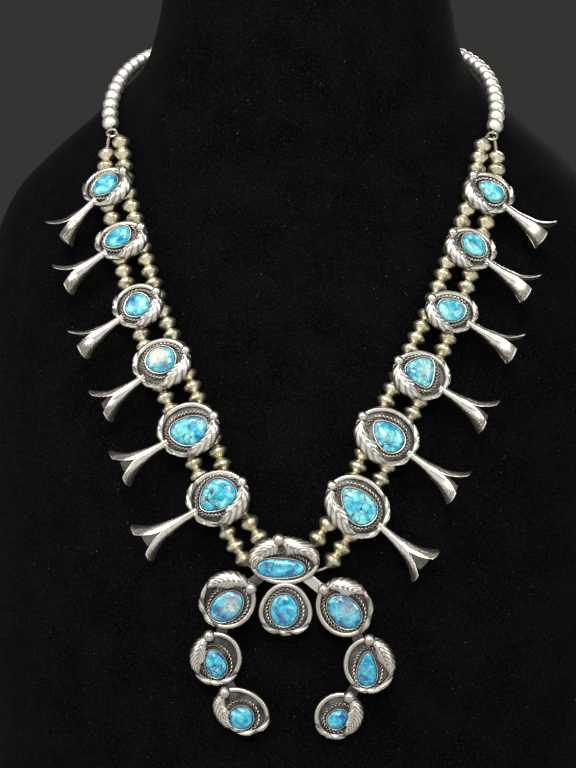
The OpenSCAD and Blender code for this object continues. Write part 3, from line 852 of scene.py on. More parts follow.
@dataclass(frozen=True)
class LeafForm:
    """The sizes of a raised leaf. Across it, -1 is its inner edge and 1 its outer one."""

    width: float = 6.4
    rise: float = 2.8
    vein_step: float = 22.0
    vein_sweep: float = 1.5
    fewest_veins: float = 5.0
    shares: tuple[float, ...] = (0.42, 0.74, 0.92, 1.0, 1.0, 0.93, 0.78, 0.5, 0.08)
    overhang: float = 0.25
    drawn_in: float = 1.3
    root_blunt: float = 0.35
    point_blunt: float = 0.1
    blunting: float = 5.0
    lap: float = 0.55
    lap_near: float = 0.3
    lap_blend: float = 0.4
    lap_rise: float = 0.9
    least: float = 0.4
    rib_round: float = 0.75
    crown_round: float = 0.7
    midvein: float = -0.1
    midvein_w: float = 0.06
    groove: float = 0.16
    outer_edge: float = 0.45
    inner_edge: float = 0.9
    notch: float = 0.07
    notch_from: float = 0.94
    edge_dark: float = 1.4
    edge_from: float = 0.75
    midvein_dark: float = 0.7

    def share(self, t: float) -> float:
        """Reads how much of its width the leaf has.

        Args:
            t: The share of the leaf's length.

        Returns:
            The share of its width.
        """
        steps = len(self.shares) - 1
        k = min(int(t * steps), steps - 1)
        return self.shares[k] + (self.shares[k + 1] - self.shares[k]) * (t * steps - k)


@dataclass(frozen=True)
class Setting:
    """A plate with its rim, twisted wire, bezel, leaves and ball, in its own frame, Z to the front.

    The ball's angle and the two ends of each leaf, rim and tip are counted round the plate.
    """

    plate: Oval
    stone: StoneCut
    rim: Point2
    tips: tuple[Point2, ...] = ()
    leaves: tuple[Point2, ...] = ()
    ball: float | None = None
    x: float = 0.0
    y: float = 0.0
    leaf: LeafForm = LeafForm()
    ball_d: float = 3.6
    ball_inset: float = 0.22
    ball_seat: float = 0.42
    thick: float = 0.9
    sunk: float = 0.1
    path_step: float = 5.0
    rim_r: float = 0.9
    rim_lift: float = 0.32
    rim_end: float = 0.66
    rim_taper: float = 4.8
    covered_past: float = 4.0
    covered_dark: float = 0.75
    wall: float = 0.4
    gap: float = 0.14
    bezel: float = 1.7
    bezel_lip: float = 0.2
    rope_r: float = 0.58
    rope_points: int = 260
    rope_seat: float = 0.8
    rope_from_bezel: float = 0.05
    rope_from_rim: float = 0.1
    rope_crest: float = 0.86
    rope_valley: float = 0.42
    rope_turn: float = 2.7
    rope_wide: float = 1.16
    rope_flat: float = 0.72
    rope_waist: float = 0.3
    rope_drift: float = 0.22
    stone_rise: float = 1.3
    dome: tuple[Point2, ...] = (
        (0.3, 1.0), (0.26, 1.0), (0.2, 0.93), (0.14, 0.82), (0.08, 0.68), (0.04, 0.45),
    )
    unevenness: float = 0.28
    uneven_over: float = 0.6
    spot_at: Point2 = (0.1, 0.12)
    spot_size: float = 0.22
    spot_core: float = 1.8
    tip_lift: float = 1.12
    tip_arch: float = 0.35
    tip_flare: float = 0.9
    tip_root: float = 0.45
    tip_point: float = 0.06
    blade: tuple[Point2, ...] = ((0.9, -0.1), (0.0, 0.62), (-0.9, -0.1), (-0.45, -0.5), (0.45, -0.5))

    def _dim(self, p: Vertex, foot: float, fall: float, most: float = 1.0) -> float:
        """How dark a point is, from its shade at the plate's face and its fall to a millimetre's height."""
        return clamp(foot - (p.co.z - self.thick) * fall, most)

    def _plate(self) -> Piece:
        """Makes the back plate, dark where it shows round the stone.

        Returns:
            The plate.
        """
        plate = Bench.outline(self.plate.points(inset=0.15, sides=72))
        Bench.raise_edges(plate, [(self.thick, 1.0)])
        Bench.soften(plate, width=0.12)
        Bench.paint(plate, MARKS_AND_SHADE, lambda p: 0.96 if p.co.z > self.thick - 0.01 else 0.1)
        return plate

    def _path(self, start: float, end: float, inset: float, height: float) -> list[Vector]:
        """Lists points along the plate's edge.

        Args:
            start: The first point's angle.
            end: The last point's angle.
            inset: How far they lie inside the edge.
            height: How high they lie.

        Returns:
            The points.
        """
        steps = max(6, int(abs(end - start) / self.path_step))
        angles = [start + (end - start) * k / steps for k in range(steps + 1)]
        return [Vector((*polar(self.plate.reach(a) - inset, a), height)) for a in angles]

    def _rim(self) -> Piece:
        """Makes the smooth round wire along the plate's edge.

        Returns:
            The rim.
        """
        start, end = self.rim
        closed = abs(end - start) >= 360
        path = self._path(start, end, self.rim_r, self.thick + self.rim_lift)
        spans = [(min(ends) - self.covered_past, max(ends) + self.covered_past) for ends in self.tips]

        def swell(share: float) -> float:
            """The rim's thickness, which lessens at its ends unless it closes."""
            return 1.0 if closed else min(1.0, self.rim_end + self.rim_taper * min(share, 1 - share))

        def under(p: Vertex) -> float:
            """How dark the rim is, by how low it lies and whether a blade covers it."""
            a = math.degrees(math.atan2(p.co.y, p.co.x))
            covered = any(low < a + turn < high for low, high in spans for turn in (-360, 0, 360))
            # Painted shade: darker low on the rim's flanks, and a painted shadow where a blade lies over
            # it.
            return max(self.covered_dark * covered, self._dim(p, foot=1.0625, fall=1.25, most=0.92))

        rim = Wire(path[:-1] if closed else path, self.rim_r, closed=closed, swell=swell).make()
        Bench.paint(rim, MARKS_AND_SHADE, under)
        return rim

    def _tip(self, start: float, end: float) -> Piece:
        """Makes a pointed blade that lies along the rim.

        Args:
            start: The angle of its root.
            end: The angle of its point.

        Returns:
            The blade.
        """
        path = self._path(start, end, self.rim_r, self.thick + self.tip_lift)
        for k, point in enumerate(path):
            share = k / (len(path) - 1)
            point.xy *= 1 + self.tip_flare * share / point.xy.length
            point.z += self.tip_arch * math.sin(math.pi * share)

        def swell(share: float) -> float:
            """The blade's width, which grows from its root and ends in a point."""
            body = min(1.0, self.tip_root + 2 * share) * (1 - share ** 2)
            return self.tip_point + (1 - self.tip_point) * body

        tip = Wire(path, section=self.blade, swell=swell).make()
        # Painted shade: the blade darkens towards its underside.
        Bench.paint(tip, MARKS_AND_SHADE, lambda p: self._dim(p, foot=2.0, fall=1.6, most=0.9))
        return tip

    def _bezel(self) -> Piece:
        """Makes the thin wall that holds the stone.

        Returns:
            The bezel.
        """
        bezel = Bench.outline(self.stone.points(self.gap + self.wall, sides=64), "NOTHING")
        Bench.shift(bezel, 0, 0, self.thick - self.sunk)
        lip = self.bezel * self.bezel_lip
        steps = [(self.bezel - lip, 1.0), (lip + self.sunk, 0.985)]
        Bench.raise_edges(bezel, steps, (self.stone.x, self.stone.y))
        Bench.modify(bezel, "SOLIDIFY", thickness=self.wall * 0.75, offset=-1.0, use_even_offset=True)
        Bench.soften(bezel, width=0.08, angle=50)
        # Painted shade: the bezel darkens towards the plate.
        Bench.paint(bezel, MARKS_AND_SHADE, lambda p: self._dim(p, foot=0.8, fall=0.9))
        return bezel

    def _rope(self) -> Piece:
        """Makes the twisted wire round the bezel, dark in the grooves of its twist.

        Returns:
            The twisted wire.
        """
        level = self.thick + self.rope_r * self.rope_seat
        path = []
        for k in range(self.rope_points):
            angle = 360 * k / self.rope_points
            low = self.stone.reach(self.gap + self.wall, angle)
            room = self.plate.reach(angle) - 2 * self.rim_r - low
            away = min(room - self.rope_r - self.rope_from_rim, self.rope_r + room * self.rope_drift)
            away = max(self.rope_r + self.rope_from_bezel, away)
            path.append(Vector((*polar(low + away, angle), level)))
        section = []
        for k in range(12):
            across, up = polar(self.rope_r, 30 * k)
            waist = self.rope_waist + (1 - self.rope_waist) * abs(across / self.rope_r) ** 0.7
            section.append((self.rope_wide * waist * across, self.rope_flat * waist * up))
        length = sum((p - q).length for p, q in zip(path, path[1:] + path[:1]))
        turn = length / round(length / self.rope_turn)
        rope = Wire(path, section=section, closed=True, turn_length=turn).make()
        tree = KDTree(len(path))
        for index, point in enumerate(path):
            tree.insert(point, index)
        tree.balance()

        def groove(p: Vertex) -> float:
            """How dark a point is, by how deep it lies in the twist or under the wire."""
            # Darker deep in the twist; the darkening below the wire's middle is painted shade.
            deep = (self.rope_crest - tree.find(p.co)[2] / self.rope_r) / self.rope_valley
            return clamp(max(deep, (level - p.co.z) * 2.2))

        Bench.paint(rope, MARKS_AND_SHADE, groove)
        return rope

    def _leaf_point(self, t: float, v: float, angle: float, count: float) -> tuple[Point3, float]:
        """Works out a point of a leaf.

        Args:
            t: Its share of the leaf's length.
            v: Its place across the leaf.
            angle: Its angle round the plate.
            count: How many veins the leaf has.

        Returns:
            Where it lies and how dark it is.
        """
        form = self.leaf
        share = form.share(t)
        bezel = self.stone.reach(self.gap + self.wall, angle)
        limit = bezel - form.lap
        blunt = min(1.0, form.root_blunt + form.blunting * t, form.point_blunt + form.blunting * (1 - t))
        outer = self.plate.reach(angle) + form.overhang - form.drawn_in * (1 - blunt)
        outer = max(outer, limit + form.least)
        inner = max(outer - form.width * share, limit)
        off = abs(v - form.midvein)
        rib = abs(math.sin(math.pi * (t * count - off * form.vein_sweep))) ** form.rib_round
        mid = math.exp(-(off / form.midvein_w) ** 2)
        crown = max(0.0, 1 - v * v) ** form.crown_round * (0.5 + 0.5 * share)
        lapped = clamp((bezel + form.lap_near - inner) / form.lap_blend)
        edge = form.outer_edge if v > 0 else form.inner_edge + form.lap_rise * lapped
        low = self.thick + edge * min(1.0, 0.4 + share)
        high = self.thick + form.rise
        height = low + (high - low) * crown - form.groove * ((1 - rib) * (1 - mid) + mid)
        notch = 1 + (rib - 1) * form.notch * (abs(v) > form.notch_from)
        r = (outer + inner) / 2 + (outer - inner) / 2 * v * notch
        # Darker in the midvein and vein grooves; the darkening along the edges is painted shade.
        dark = (1 - rib) ** 1.1 * (1 - mid) + form.midvein_dark * mid
        dark += form.edge_dark * max(0.0, abs(v) - form.edge_from)
        return (*polar(r, angle), height), min(1.0, dark)

    def _leaf(self, start: float, end: float) -> Piece:
        """Makes a raised leaf along the plate's edge, with a midvein and swept side veins.

        Args:
            start: The angle of its root, at the ball.
            end: The angle of its point.

        Returns:
            The leaf.
        """
        leaf = Bench.add("grid", x_subdivisions=80, y_subdivisions=20, size=2.0)
        count = max(self.leaf.fewest_veins, abs(end - start) / self.leaf.vein_step)
        layer = leaf.data.attributes.new(MARKS_AND_SHADE, "FLOAT", "POINT")
        for vertex, item in zip(leaf.data.vertices, layer.data):
            t = (vertex.co.x + 1) / 2
            vertex.co, item.value = self._leaf_point(t, vertex.co.y, start + (end - start) * t, count)
        with Bench.edit(leaf):
            bpy.ops.mesh.select_all(action="DESELECT")
            mesh = bmesh.from_edit_mesh(leaf.data)
            for edge in mesh.edges:
                edge.select = edge.is_boundary
            bmesh.update_edit_mesh(leaf.data)
            bpy.ops.mesh.extrude_region_move(TRANSFORM_OT_translate={"value": (0, 0, 0)})
            mesh = bmesh.from_edit_mesh(leaf.data)
            # Painted shadow: the side wall, lowered to the plate, is painted dark.
            for vertex in mesh.verts:
                if vertex.select:
                    vertex.co.z = self.thick - self.sunk
                    vertex[mesh.verts.layers.float[MARKS_AND_SHADE]] = 1.0
            bmesh.update_edit_mesh(leaf.data)
            bpy.ops.mesh.edge_face_add()
        return leaf

    def _ball(self, angle: float) -> Piece:
        """Makes the silver ball at the leaf's root.

        Args:
            angle: Its angle round the plate.

        Returns:
            The ball.
        """
        ball = Bench.add("uv_sphere", segments=24, ring_count=14, radius=self.ball_d / 2)
        across, up = polar(self.plate.reach(angle) - self.ball_d * self.ball_inset, angle)
        Bench.shift(ball, across, up, self.thick + self.ball_d * self.ball_seat)
        # Painted shade: the ball darkens towards the plate.
        Bench.paint(ball, MARKS_AND_SHADE, lambda p: self._dim(p, foot=0.75, fall=0.45, most=0.9))
        return ball

    def silver(self, patina: float = 0.0) -> list[Piece]:
        """Makes all the setting's silver.

        Args:
            patina: How much duller all but its leaves are.

        Returns:
            The pieces, in the setting's frame.
        """
        pieces = [self._plate(), self._rim(), self._bezel(), self._rope()]
        pieces += [self._tip(*ends) for ends in self.tips]
        if self.ball is not None:
            pieces.append(self._ball(self.ball))
        for piece in pieces:
            for item in piece.data.attributes[MARKS_AND_SHADE].data:
                item.value += patina * (1 - item.value)
        pieces += [self._leaf(*ends) for ends in self.leaves]
        return [Bench.shift(piece, self.x, self.y, 0) for piece in pieces]

    def turquoise(self, seed: int, pale: float) -> Piece:
        """Makes the stone, domed and a little uneven.

        Args:
            seed: Sets its unevenness.
            pale: How much lighter its colour is.

        Returns:
            The stone, in the setting's frame.
        """
        cut, rnd = self.stone, random.Random(seed)
        stone = Bench.outline(cut.points(margin=0.0, sides=32))
        Bench.shift(stone, 0, 0, self.thick + self.gap)
        tall = self.bezel + self.stone_rise - self.gap
        Bench.raise_edges(stone, [(tall * share, scale) for share, scale in self.dome], (cut.x, cut.y))
        Bench.modify(stone, "SUBSURF", levels=2, render_levels=2)
        waves = [(rnd.uniform(0.35, 0.8), rnd.uniform(0.35, 0.8), rnd.uniform(0, 6.3)) for _ in range(3)]
        for vertex in stone.data.vertices:
            high = clamp((vertex.co.z - self.thick - self.bezel) / self.uneven_over)
            lift = sum(math.sin(fx * vertex.co.x + fy * vertex.co.y + ph) for fx, fy, ph in waves) / 3
            vertex.co.z -= high * self.unevenness * (1 + lift) / 2
        spot = Vector((cut.x + cut.width * self.spot_at[0], cut.y + cut.height * self.spot_at[1]))
        size = cut.width * self.spot_size

        def chalk(p: Vertex) -> float:
            """How chalky a point is, by its distance from the middle of the patch."""
            return cut.chalk * max(0.0, self.spot_core - (p.co.xy - spot).length / size)

        Bench.paint(stone, MARKS_AND_SHADE, chalk)
        Bench.paint(stone, TONE, cut.tone)
        Bench.paint(stone, PALE, pale)
        return Bench.shift(stone, self.x, self.y, 0)


@dataclass(frozen=True)
class Trumpet:
    """A blossom: a slim stem that widens, and three petals that flare from it. Z runs along its axis."""

    length: float
    turn: float
    stem_share: float = 0.5
    stem_r: float = 1.4
    throat_r: float = 2.6
    throat_half: float = 59.0
    reach: float = 7.8
    tip_w: float = 7.3
    back_from: float = 60.0
    back_reach: float = 0.74
    back_width: float = 0.82
    bend_share: float = 0.8
    bend_power: float = 2.2
    hollowing: float = 0.85
    tip_round: float = 0.05
    wall: float = 0.42
    sunk: float = 1.6
    dark: float = 0.86

    @property
    def top(self) -> float:
        """Where the stem ends and the petals begin."""
        return self.length * self.stem_share

    def _stem(self) -> Piece:
        """Makes the tube, extruded ring by ring up to its throat.

        Returns:
            The stem, with its wall.
        """
        stem = Bench.add("circle", vertices=30, radius=self.stem_r, fill_type="NOTHING")
        Bench.shift(stem, 0, 0, -self.sunk)
        rings = (
            (0.0, self.stem_r * 0.94), (0.35, self.stem_r * 1.05), (0.65, self.stem_r * 1.28),
            (0.85, self.throat_r * 0.86), (1.0, self.throat_r),
        )
        steps, z, r = [], -self.sunk, self.stem_r
        for share, radius in rings:
            steps.append((self.top * share - z, radius / r))
            z, r = self.top * share, radius
        Bench.raise_edges(stem, steps)
        Bench.modify(stem, "SOLIDIFY", thickness=self.wall, offset=-1.0)
        return stem

    def _petal(self, angle: float) -> Piece:
        """Makes one petal, a grid bent from a third of the throat to a broad, flaring tip.

        Args:
            angle: Its place round the axis, from straight back.

        Returns:
            The petal, with its wall.
        """
        petal = Bench.add("grid", x_subdivisions=16, y_subdivisions=20, size=2.0)
        behind = abs(angle) < self.back_from
        reach = self.reach * (self.back_reach if behind else 1)
        tip_w = self.tip_w * (self.back_width if behind else 1)
        for vertex in petal.data.vertices:
            v, t = vertex.co.x, (vertex.co.y + 1) / 2
            flare = (1 - self.bend_share) * t + self.bend_share * t ** self.bend_power
            out = self.throat_r - self.wall / 2 + (reach - self.throat_r) * flare
            half = math.radians(self.throat_half) * self.throat_r * (1 - t) + tip_w / 2 * t
            radius = self.throat_r * (1 + self.hollowing * t)
            bend = half * v / radius
            level = self.top + (self.length - self.top) * t * (1 - self.tip_round * v * v * t)
            vertex.co = (out - radius + radius * math.cos(bend), radius * math.sin(bend), level)
        Bench.lay(petal, Matrix.Rotation(math.radians(angle), 4, "Z"))
        Bench.modify(petal, "SOLIDIFY", thickness=self.wall, offset=0.0)
        Bench.soften(petal, width=0.1, angle=60)
        return petal

    def _inside(self, p: Vertex) -> float:
        """How dark a point is: the hollow of the throat and petals looks towards the axis."""
        facing = p.normal.dot(Vector((p.co.x, p.co.y, 0)).normalized())
        return self.dark if facing < -0.3 and p.co.z > self.top * 0.9 else 0.0

    def make(self) -> list[Piece]:
        """Makes the whole blossom.

        Returns:
            Its pieces.
        """
        pieces = [self._stem()] + [self._petal(self.turn + 120 * k) for k in range(3)]
        for piece in pieces:
            Bench.face_out(piece)
            Bench.paint(piece, MARKS_AND_SHADE, self._inside)
        return pieces


@dataclass(frozen=True)
class Station:
    """One setting on the strands, placed from the outer strand's point, and its blossom.

    Ball and stem have their angles round the plate, and the blossom reaches out from the plate's centre.
    """

    x: float
    y: float
    ball: float
    stem_at: float
    reach: float
    turn: float
    plate: Oval
    stone: StoneCut


@dataclass
class Blossoms:
    """The twelve settings on the strands, each with its stone and its blossom."""

    strands: Strands
    silver: Finish
    turquoise: Finish
    plate_depth: float = 3.7
    plate_sunk: float = 0.4
    loop_r: float = 1.45
    loop_wire: float = 1.0
    bar_w: float = 2.4
    bar_h: float = 1.1
    back_tarnish: float = 0.25
    leaf_after_ball: float = 9.0
    leaf_end: float = 268.0
    rim_after_ball: float = 16.0
    rim_end: float = -100.0
    tips_from_stem: tuple[Point2, ...] = ((9, 38), (30, 60), (-9, -36), (-30, -60))
    pale: dict[Side, float] = field(default_factory=lambda: {Side.LEFT: 0.045, Side.RIGHT: 0.085})
    stations: dict[Side, tuple[Station, ...]] = field(default_factory=lambda: {
        Side.LEFT: (
            Station(-3.8, -3.1, 132, -54, 25.5, 11, Oval(19.5, 16.2, -10),
                    StoneCut(0.8, 0.3, 10.2, 7.6, -45, 0.1, ((2, 0.03, 60),), tone=-1)),
            Station(-4.6, -2.5, 145, -40, 26.2, 4, Oval(20.3, 15.3, -10),
                    StoneCut(1.4, 0.9, 10.2, 7.4, -35, 0.1, ((3, 0.04, 20),), tone=-1)),
            Station(-4.6, -2.7, 141, -39, 26.2, -12, Oval(18.8, 17.1, -10),
                    StoneCut(0.2, -0.2, 9.2, 8.6, -20, 0.15, ((3, 0.04, 80),), tone=-0.8)),
            Station(-5.2, -0.3, 151, -39, 27.0, 5, Oval(21.4, 18.7, -10),
                    StoneCut(0.4, 1.0, 10.8, 9.5, -10, 0.05, chalk=1, tone=0.2)),
            Station(-4.6, -0.6, 151, -32, 28.4, 8, Oval(22.5, 19.5, -15),
                    StoneCut(-0.3, -0.6, 13.4, 9.8, -15, 0.05, ((3, 0.05, 150),), tone=0.3)),
            Station(-4.7, -0.5, 145, -32, 31.8, 10, Oval(22.7, 19.6, -15),
                    StoneCut(0.4, 0.7, 13.6, 10.4, -35, 0.3, ((3, 0.05, 200),), tone=0.8)),
        ),
        Side.RIGHT: (
            Station(-5.2, -4.2, 128, -43, 26.4, -14, Oval(19.4, 16.8, -20),
                    StoneCut(0.8, 0.4, 9.4, 7.0, 145, 0.3, tone=-0.2)),
            Station(-5.7, -4.3, 136, -39, 26.6, -12, Oval(19.2, 16.4, -20),
                    StoneCut(1.4, 1.0, 9.8, 7.8, -50, 0.05, tone=0.9)),
            Station(-4.7, -3.5, 146, -34, 27.0, -18, Oval(19.2, 16.0, -10),
                    StoneCut(0.1, 0.2, 9.8, 8.2, -10, 0.2, ((3, 0.05, 40),), tone=0.1)),
            Station(-6.1, -3.4, 147, -34, 28.4, -2, Oval(20.9, 18.2, -15),
                    StoneCut(0.1, 0.8, 10.6, 9.6, -70, 0.3, ((3, 0.05, 0),), chalk=0.3, tone=0.7)),
            Station(-6.7, -2.0, 140, -37, 31.4, -8, Oval(23.6, 20.2, -30),
                    StoneCut(0.2, 0.3, 12.6, 8.8, 132, 0.5, ((3, 0.06, 180),), tone=0.6)),
            Station(-5.4, -2.5, 141, -41, 32.0, 12, Oval(24.4, 20.6, -42),
                    StoneCut(0.2, 0.2, 14.6, 9.8, 130, 0.3, tone=0.5)),
        ),
    })

    def _loops(self, side: Side, station: int) -> list[Piece]:
        """Makes the bar behind the plate and its two thread loops.

        Args:
            side: The half.
            station: The setting's number.

        Returns:
            The pieces.
        """
        x, y, front = self.strands.axes(side, station)
        outer, inner = (self.strands.point(side, flag, station) for flag in (False, True))
        depth = self.plate_depth - self.loop_r - self.plate_sunk
        pieces = []
        for flag, place in ((False, outer), (True, inner)):
            radii = {"major_radius": self.loop_r, "minor_radius": self.loop_wire / 2}
            loop = Bench.add("torus", major_segments=28, minor_segments=10, **radii)
            pieces.append(Bench.lay(loop, along(self.strands.way(side, flag, station), place, front)))
            post = Bench.add("cylinder", vertices=20, radius=self.loop_wire * 0.65, depth=depth)
            middle = place + front * (self.loop_r + depth / 2)
            pieces.append(Bench.lay(post, matrix_of(x, y, front, middle)))
        across = inner - outer
        level = across - front * across.dot(front)
        way = level.normalized()
        bar = Bench.box((level.length + self.bar_w, self.bar_w, self.bar_h))
        Bench.soften(bar, width=0.25, segments=3)
        middle = (outer + inner) / 2 + front * (self.plate_depth - self.plate_sunk)
        pieces.append(Bench.lay(bar, matrix_of(way, front.cross(way), front, middle)))
        # Painted shade: the bar and loops behind the plate are darkened.
        for piece in pieces:
            Bench.paint(piece, MARKS_AND_SHADE, self.back_tarnish)
        return pieces

    def build(self, side: Side, number: int) -> None:
        """Builds one setting with its blossom, and its stone.

        Args:
            side: The half that it is on.
            number: Its station from the top, from 1.
        """
        row = self.stations[side][number - 1]
        setting = Setting(
            row.plate, row.stone, x=row.x, y=row.y, ball=row.ball,
            rim=(row.ball + self.rim_after_ball, self.rim_end),
            leaves=((row.ball + self.leaf_after_ball, self.leaf_end),),
            tips=tuple((row.stem_at + a, row.stem_at + b) for a, b in self.tips_from_stem),
        )
        x, y, front = self.strands.axes(side, number)
        place = self.strands.point(side, False, number) + front * self.plate_depth
        mirror = Matrix.Scale(-1, 4, (1, 0, 0)) if side is Side.LEFT else Matrix.Identity(4)
        frame = matrix_of(x, y, front, place) @ mirror
        edge = row.plate.reach(row.stem_at) - setting.rim_r
        across, up = polar(edge, row.stem_at)
        root = Matrix.Translation((across + row.x, up + row.y, setting.thick))
        turned = Matrix.Rotation(math.radians(row.stem_at), 4, "Z") @ LIE_DOWN
        pieces = setting.silver()
        pieces += [Bench.lay(p, root @ turned) for p in Trumpet(row.reach - edge, row.turn).make()]
        pieces = [Bench.lay(p, frame) for p in pieces] + self._loops(side, number)
        name = f"{side.word}_blossom_{number}"
        Bench.settle(Bench.join(pieces, f"{name}_dressed"), name, "silver", self.silver)
        name = f"{side.word}_stone_{number}"
        stone = Bench.lay(setting.turquoise(10 * number + (side is Side.LEFT), self.pale[side]), frame)
        stone.name = f"{name}_polished"
        Bench.settle(stone, name, "turquoise", self.turquoise, angle=60)


def arm_setting(plate: Oval, stone: StoneCut, **places: object) -> Setting:
    """A setting of the pendant's arms, with its larger ball and closer veins."""
    return Setting(plate, stone, ball_d=4.2, leaf=LeafForm(vein_step=14, vein_sweep=2.4), **places)


@dataclass
class Pendant:
    """The crescent: a top with two leaves, a drop, and three settings down each arm."""

    silver: Finish
    turquoise: Finish
    place: Point3 = (0, -148.6, -192)
    lean: float = 1.5
    plate_depth: float = 3.7
    sunk: float = 0.1
    tube_length: float = 11.0
    tube_r: float = 1.45
    hole_r: float = 0.95
    tubes_up: Point2 = (4.4, -4.4)
    link_w: float = 3.8
    link_depth: float = 0.3
    patina: float = 0.3
    back_tarnish: float = 0.96
    polished_link: int = 4
    polished_tarnish: float = 0.1
    tone: float = 0.8
    pale: float = -0.02
    links: tuple[tuple[int, int], ...] = ((0, 1), (0, 2), (2, 3), (3, 4), (0, 5), (5, 6), (6, 7))
    names: tuple[str, ...] = ("top", "drop", "left_1", "left_2", "left_3", "right_1", "right_2", "right_3")
    settings: tuple[Setting, ...] = (
        Setting(
            Oval(25, 17, 0), StoneCut(-1.1, -2.6, 17, 6.6, 0, 0.1, ((4, 0.03, 45),), tone=0.7),
            x=-1.1, y=0.3, ball=104, rim=(186, 354), leaves=((111, 196), (94, -8)),
            ball_d=4.3, leaf=LeafForm(width=7.6, vein_step=13, vein_sweep=2.4),
        ),
        Setting(
            Oval(18.8, 18.4, 0, ((3, 0.045, -30),)),
            StoneCut(-0.5, 0.2, 11.2, 9.6, 90, 0.2, ((3, 0.05, 180),), tone=-0.3),
            x=-0.4, y=-16.9, rim=(90, -270), tips=((-106, -146), (-74, -34), (-104, -76)),
        ),
        arm_setting(
            Oval(20.6, 19.6, 60), StoneCut(-0.4, -2.1, 12.6, 9.0, 40, 0, chalk=0.35, tone=0.5),
            x=-20.6, y=-14, ball=29, rim=(48, -218), leaves=((41, 152),), tips=((208, 178), (212, 244)),
        ),
        arm_setting(
            Oval(18.6, 18.2, 90), StoneCut(-0.2, -1.8, 9.8, 6.9, 112, 0.2, tone=1),
            x=-24.5, y=-34.4, ball=107, rim=(126, -145), leaves=((119, 224),),
            tips=((-92, -140), (-82, -36), (-104, -70)),
        ),
        arm_setting(
            Oval(20.6, 15.6, -25), StoneCut(0.1, -2.2, 8.2, 7.8, 0, 0, tone=-0.4),
            x=-15.5, y=-52.8, ball=131, rim=(149, -124), leaves=((142, 246),),
            tips=((-58, -98), (-50, -12)),
        ),
        arm_setting(
            Oval(21.2, 19.4, -60),
            StoneCut(0.2, -1.4, 13.4, 9.6, -45, 0.1, ((3, 0.05, 60),), chalk=0.2, tone=1),
            x=20, y=-15.8, ball=138, rim=(118, 404), leaves=((125, 34),), tips=((-16, 24), (-22, -56)),
        ),
        arm_setting(
            Oval(19.6, 18, 90), StoneCut(-0.7, -1.5, 11.8, 6.4, 88, 0.35, tone=0.3),
            x=29, y=-35.6, ball=90, rim=(71, 344), leaves=((78, -26),),
            tips=((-86, -128), (-74, -26), (-98, -62)),
        ),
        arm_setting(
            Oval(17.6, 15.8, 30), StoneCut(-0.4, -1.2, 7.4, 6.0, 40, 0.1),
            x=18.6, y=-53.6, ball=62, rim=(43, 294), leaves=((50, -76),),
            tips=((-118, -156), (-110, -72), (-130, -98)),
        ),
    )

    def _frame(self) -> Matrix:
        """Works out where the pendant's own frame lies.

        Returns:
            The placing matrix.
        """
        up, out = polar(1.0, self.lean)
        front = Vector((0, -up, out))
        return matrix_of(Vector((1, 0, 0)), Vector((0, out, up)), front, NAPE + Vector(self.place))

    def _link(self, a: Setting, b: Setting) -> Piece:
        """Makes the bar behind two settings that joins them.

        Args:
            a: One setting.
            b: The other setting.

        Returns:
            The bar.
        """
        bar = Bench.box((math.hypot(b.x - a.x, b.y - a.y), self.link_w, 1.0))
        Bench.soften(bar, width=0.2)
        turn = Matrix.Rotation(math.atan2(b.y - a.y, b.x - a.x), 4, "Z")
        middle = Matrix.Translation(((a.x + b.x) / 2, (a.y + b.y) / 2, -self.link_depth))
        return Bench.lay(bar, middle @ turn)

    def _tube(self, up: float) -> list[Piece]:
        """Makes a tube for a thread, on its web from the plate.

        Args:
            up: How high it lies on the plate.

        Returns:
            The tube and its web.
        """
        tube = Bench.add("circle", vertices=28, radius=self.tube_r, fill_type="NOTHING")
        Bench.raise_edges(tube, [(self.tube_length, 1.0)])
        Bench.modify(tube, "SOLIDIFY", thickness=self.tube_r - self.hole_r, offset=-1.0)
        end = Matrix.Translation((-self.tube_length / 2, up, -self.plate_depth))
        Bench.lay(tube, end @ LIE_DOWN)
        tall = self.plate_depth - self.hole_r - self.sunk
        web = Bench.box((self.tube_length, 1.0, tall))
        return [tube, Bench.shift(web, 0, up, self.sunk - tall / 2)]

    def build(self) -> None:
        """Builds the pendant's silver as one piece, and its stones."""
        frame = self._frame()
        pieces = [piece for setting in self.settings for piece in setting.silver(self.patina)]
        plain = [self._link(self.settings[a], self.settings[b]) for a, b in self.links]
        plain += [piece for up in self.tubes_up for piece in self._tube(up)]
        # Painted shade: the links and tubes behind the plates are darkened, all but the one link left lit.
        for index, piece in enumerate(plain):
            polished = index == self.polished_link
            Bench.paint(piece, MARKS_AND_SHADE, self.polished_tarnish if polished else self.back_tarnish)
        silver = Bench.join([Bench.lay(p, frame) for p in pieces + plain], "pendant_dressed")
        Bench.paint(silver, TONE, self.tone)
        Bench.settle(silver, "pendant_frame", "silver", self.silver)
        for index, (word, setting) in enumerate(zip(self.names, self.settings)):
            name = f"pendant_stone_{word}"
            stone = Bench.lay(setting.turquoise(100 + index, self.pale), frame)
            stone.name = f"{name}_polished"
            Bench.settle(stone, name, "turquoise", self.turquoise, angle=60)


# Beads, threads and small silver


class BeadForm(Enum):
    """Half outlines of a bead: shares of its radius beyond the collar, and of its half length."""

    CONE = (
        (0.0, 1.0), (0.02, 0.93), (0.08, 0.89), (0.22, 0.8), (0.48, 0.6),
        (0.76, 0.38), (0.91, 0.26), (0.94, 0.19), (1.0, 0.16), (1.0, 0.04),
    )
    ROUND = (
        (0.0, 1.0), (0.05, 0.95), (0.22, 0.9), (0.5, 0.76), (0.74, 0.56),
        (0.9, 0.34), (0.955, 0.16), (0.96, 0.09), (1.0, 0.06), (1.0, 0.02),
    )


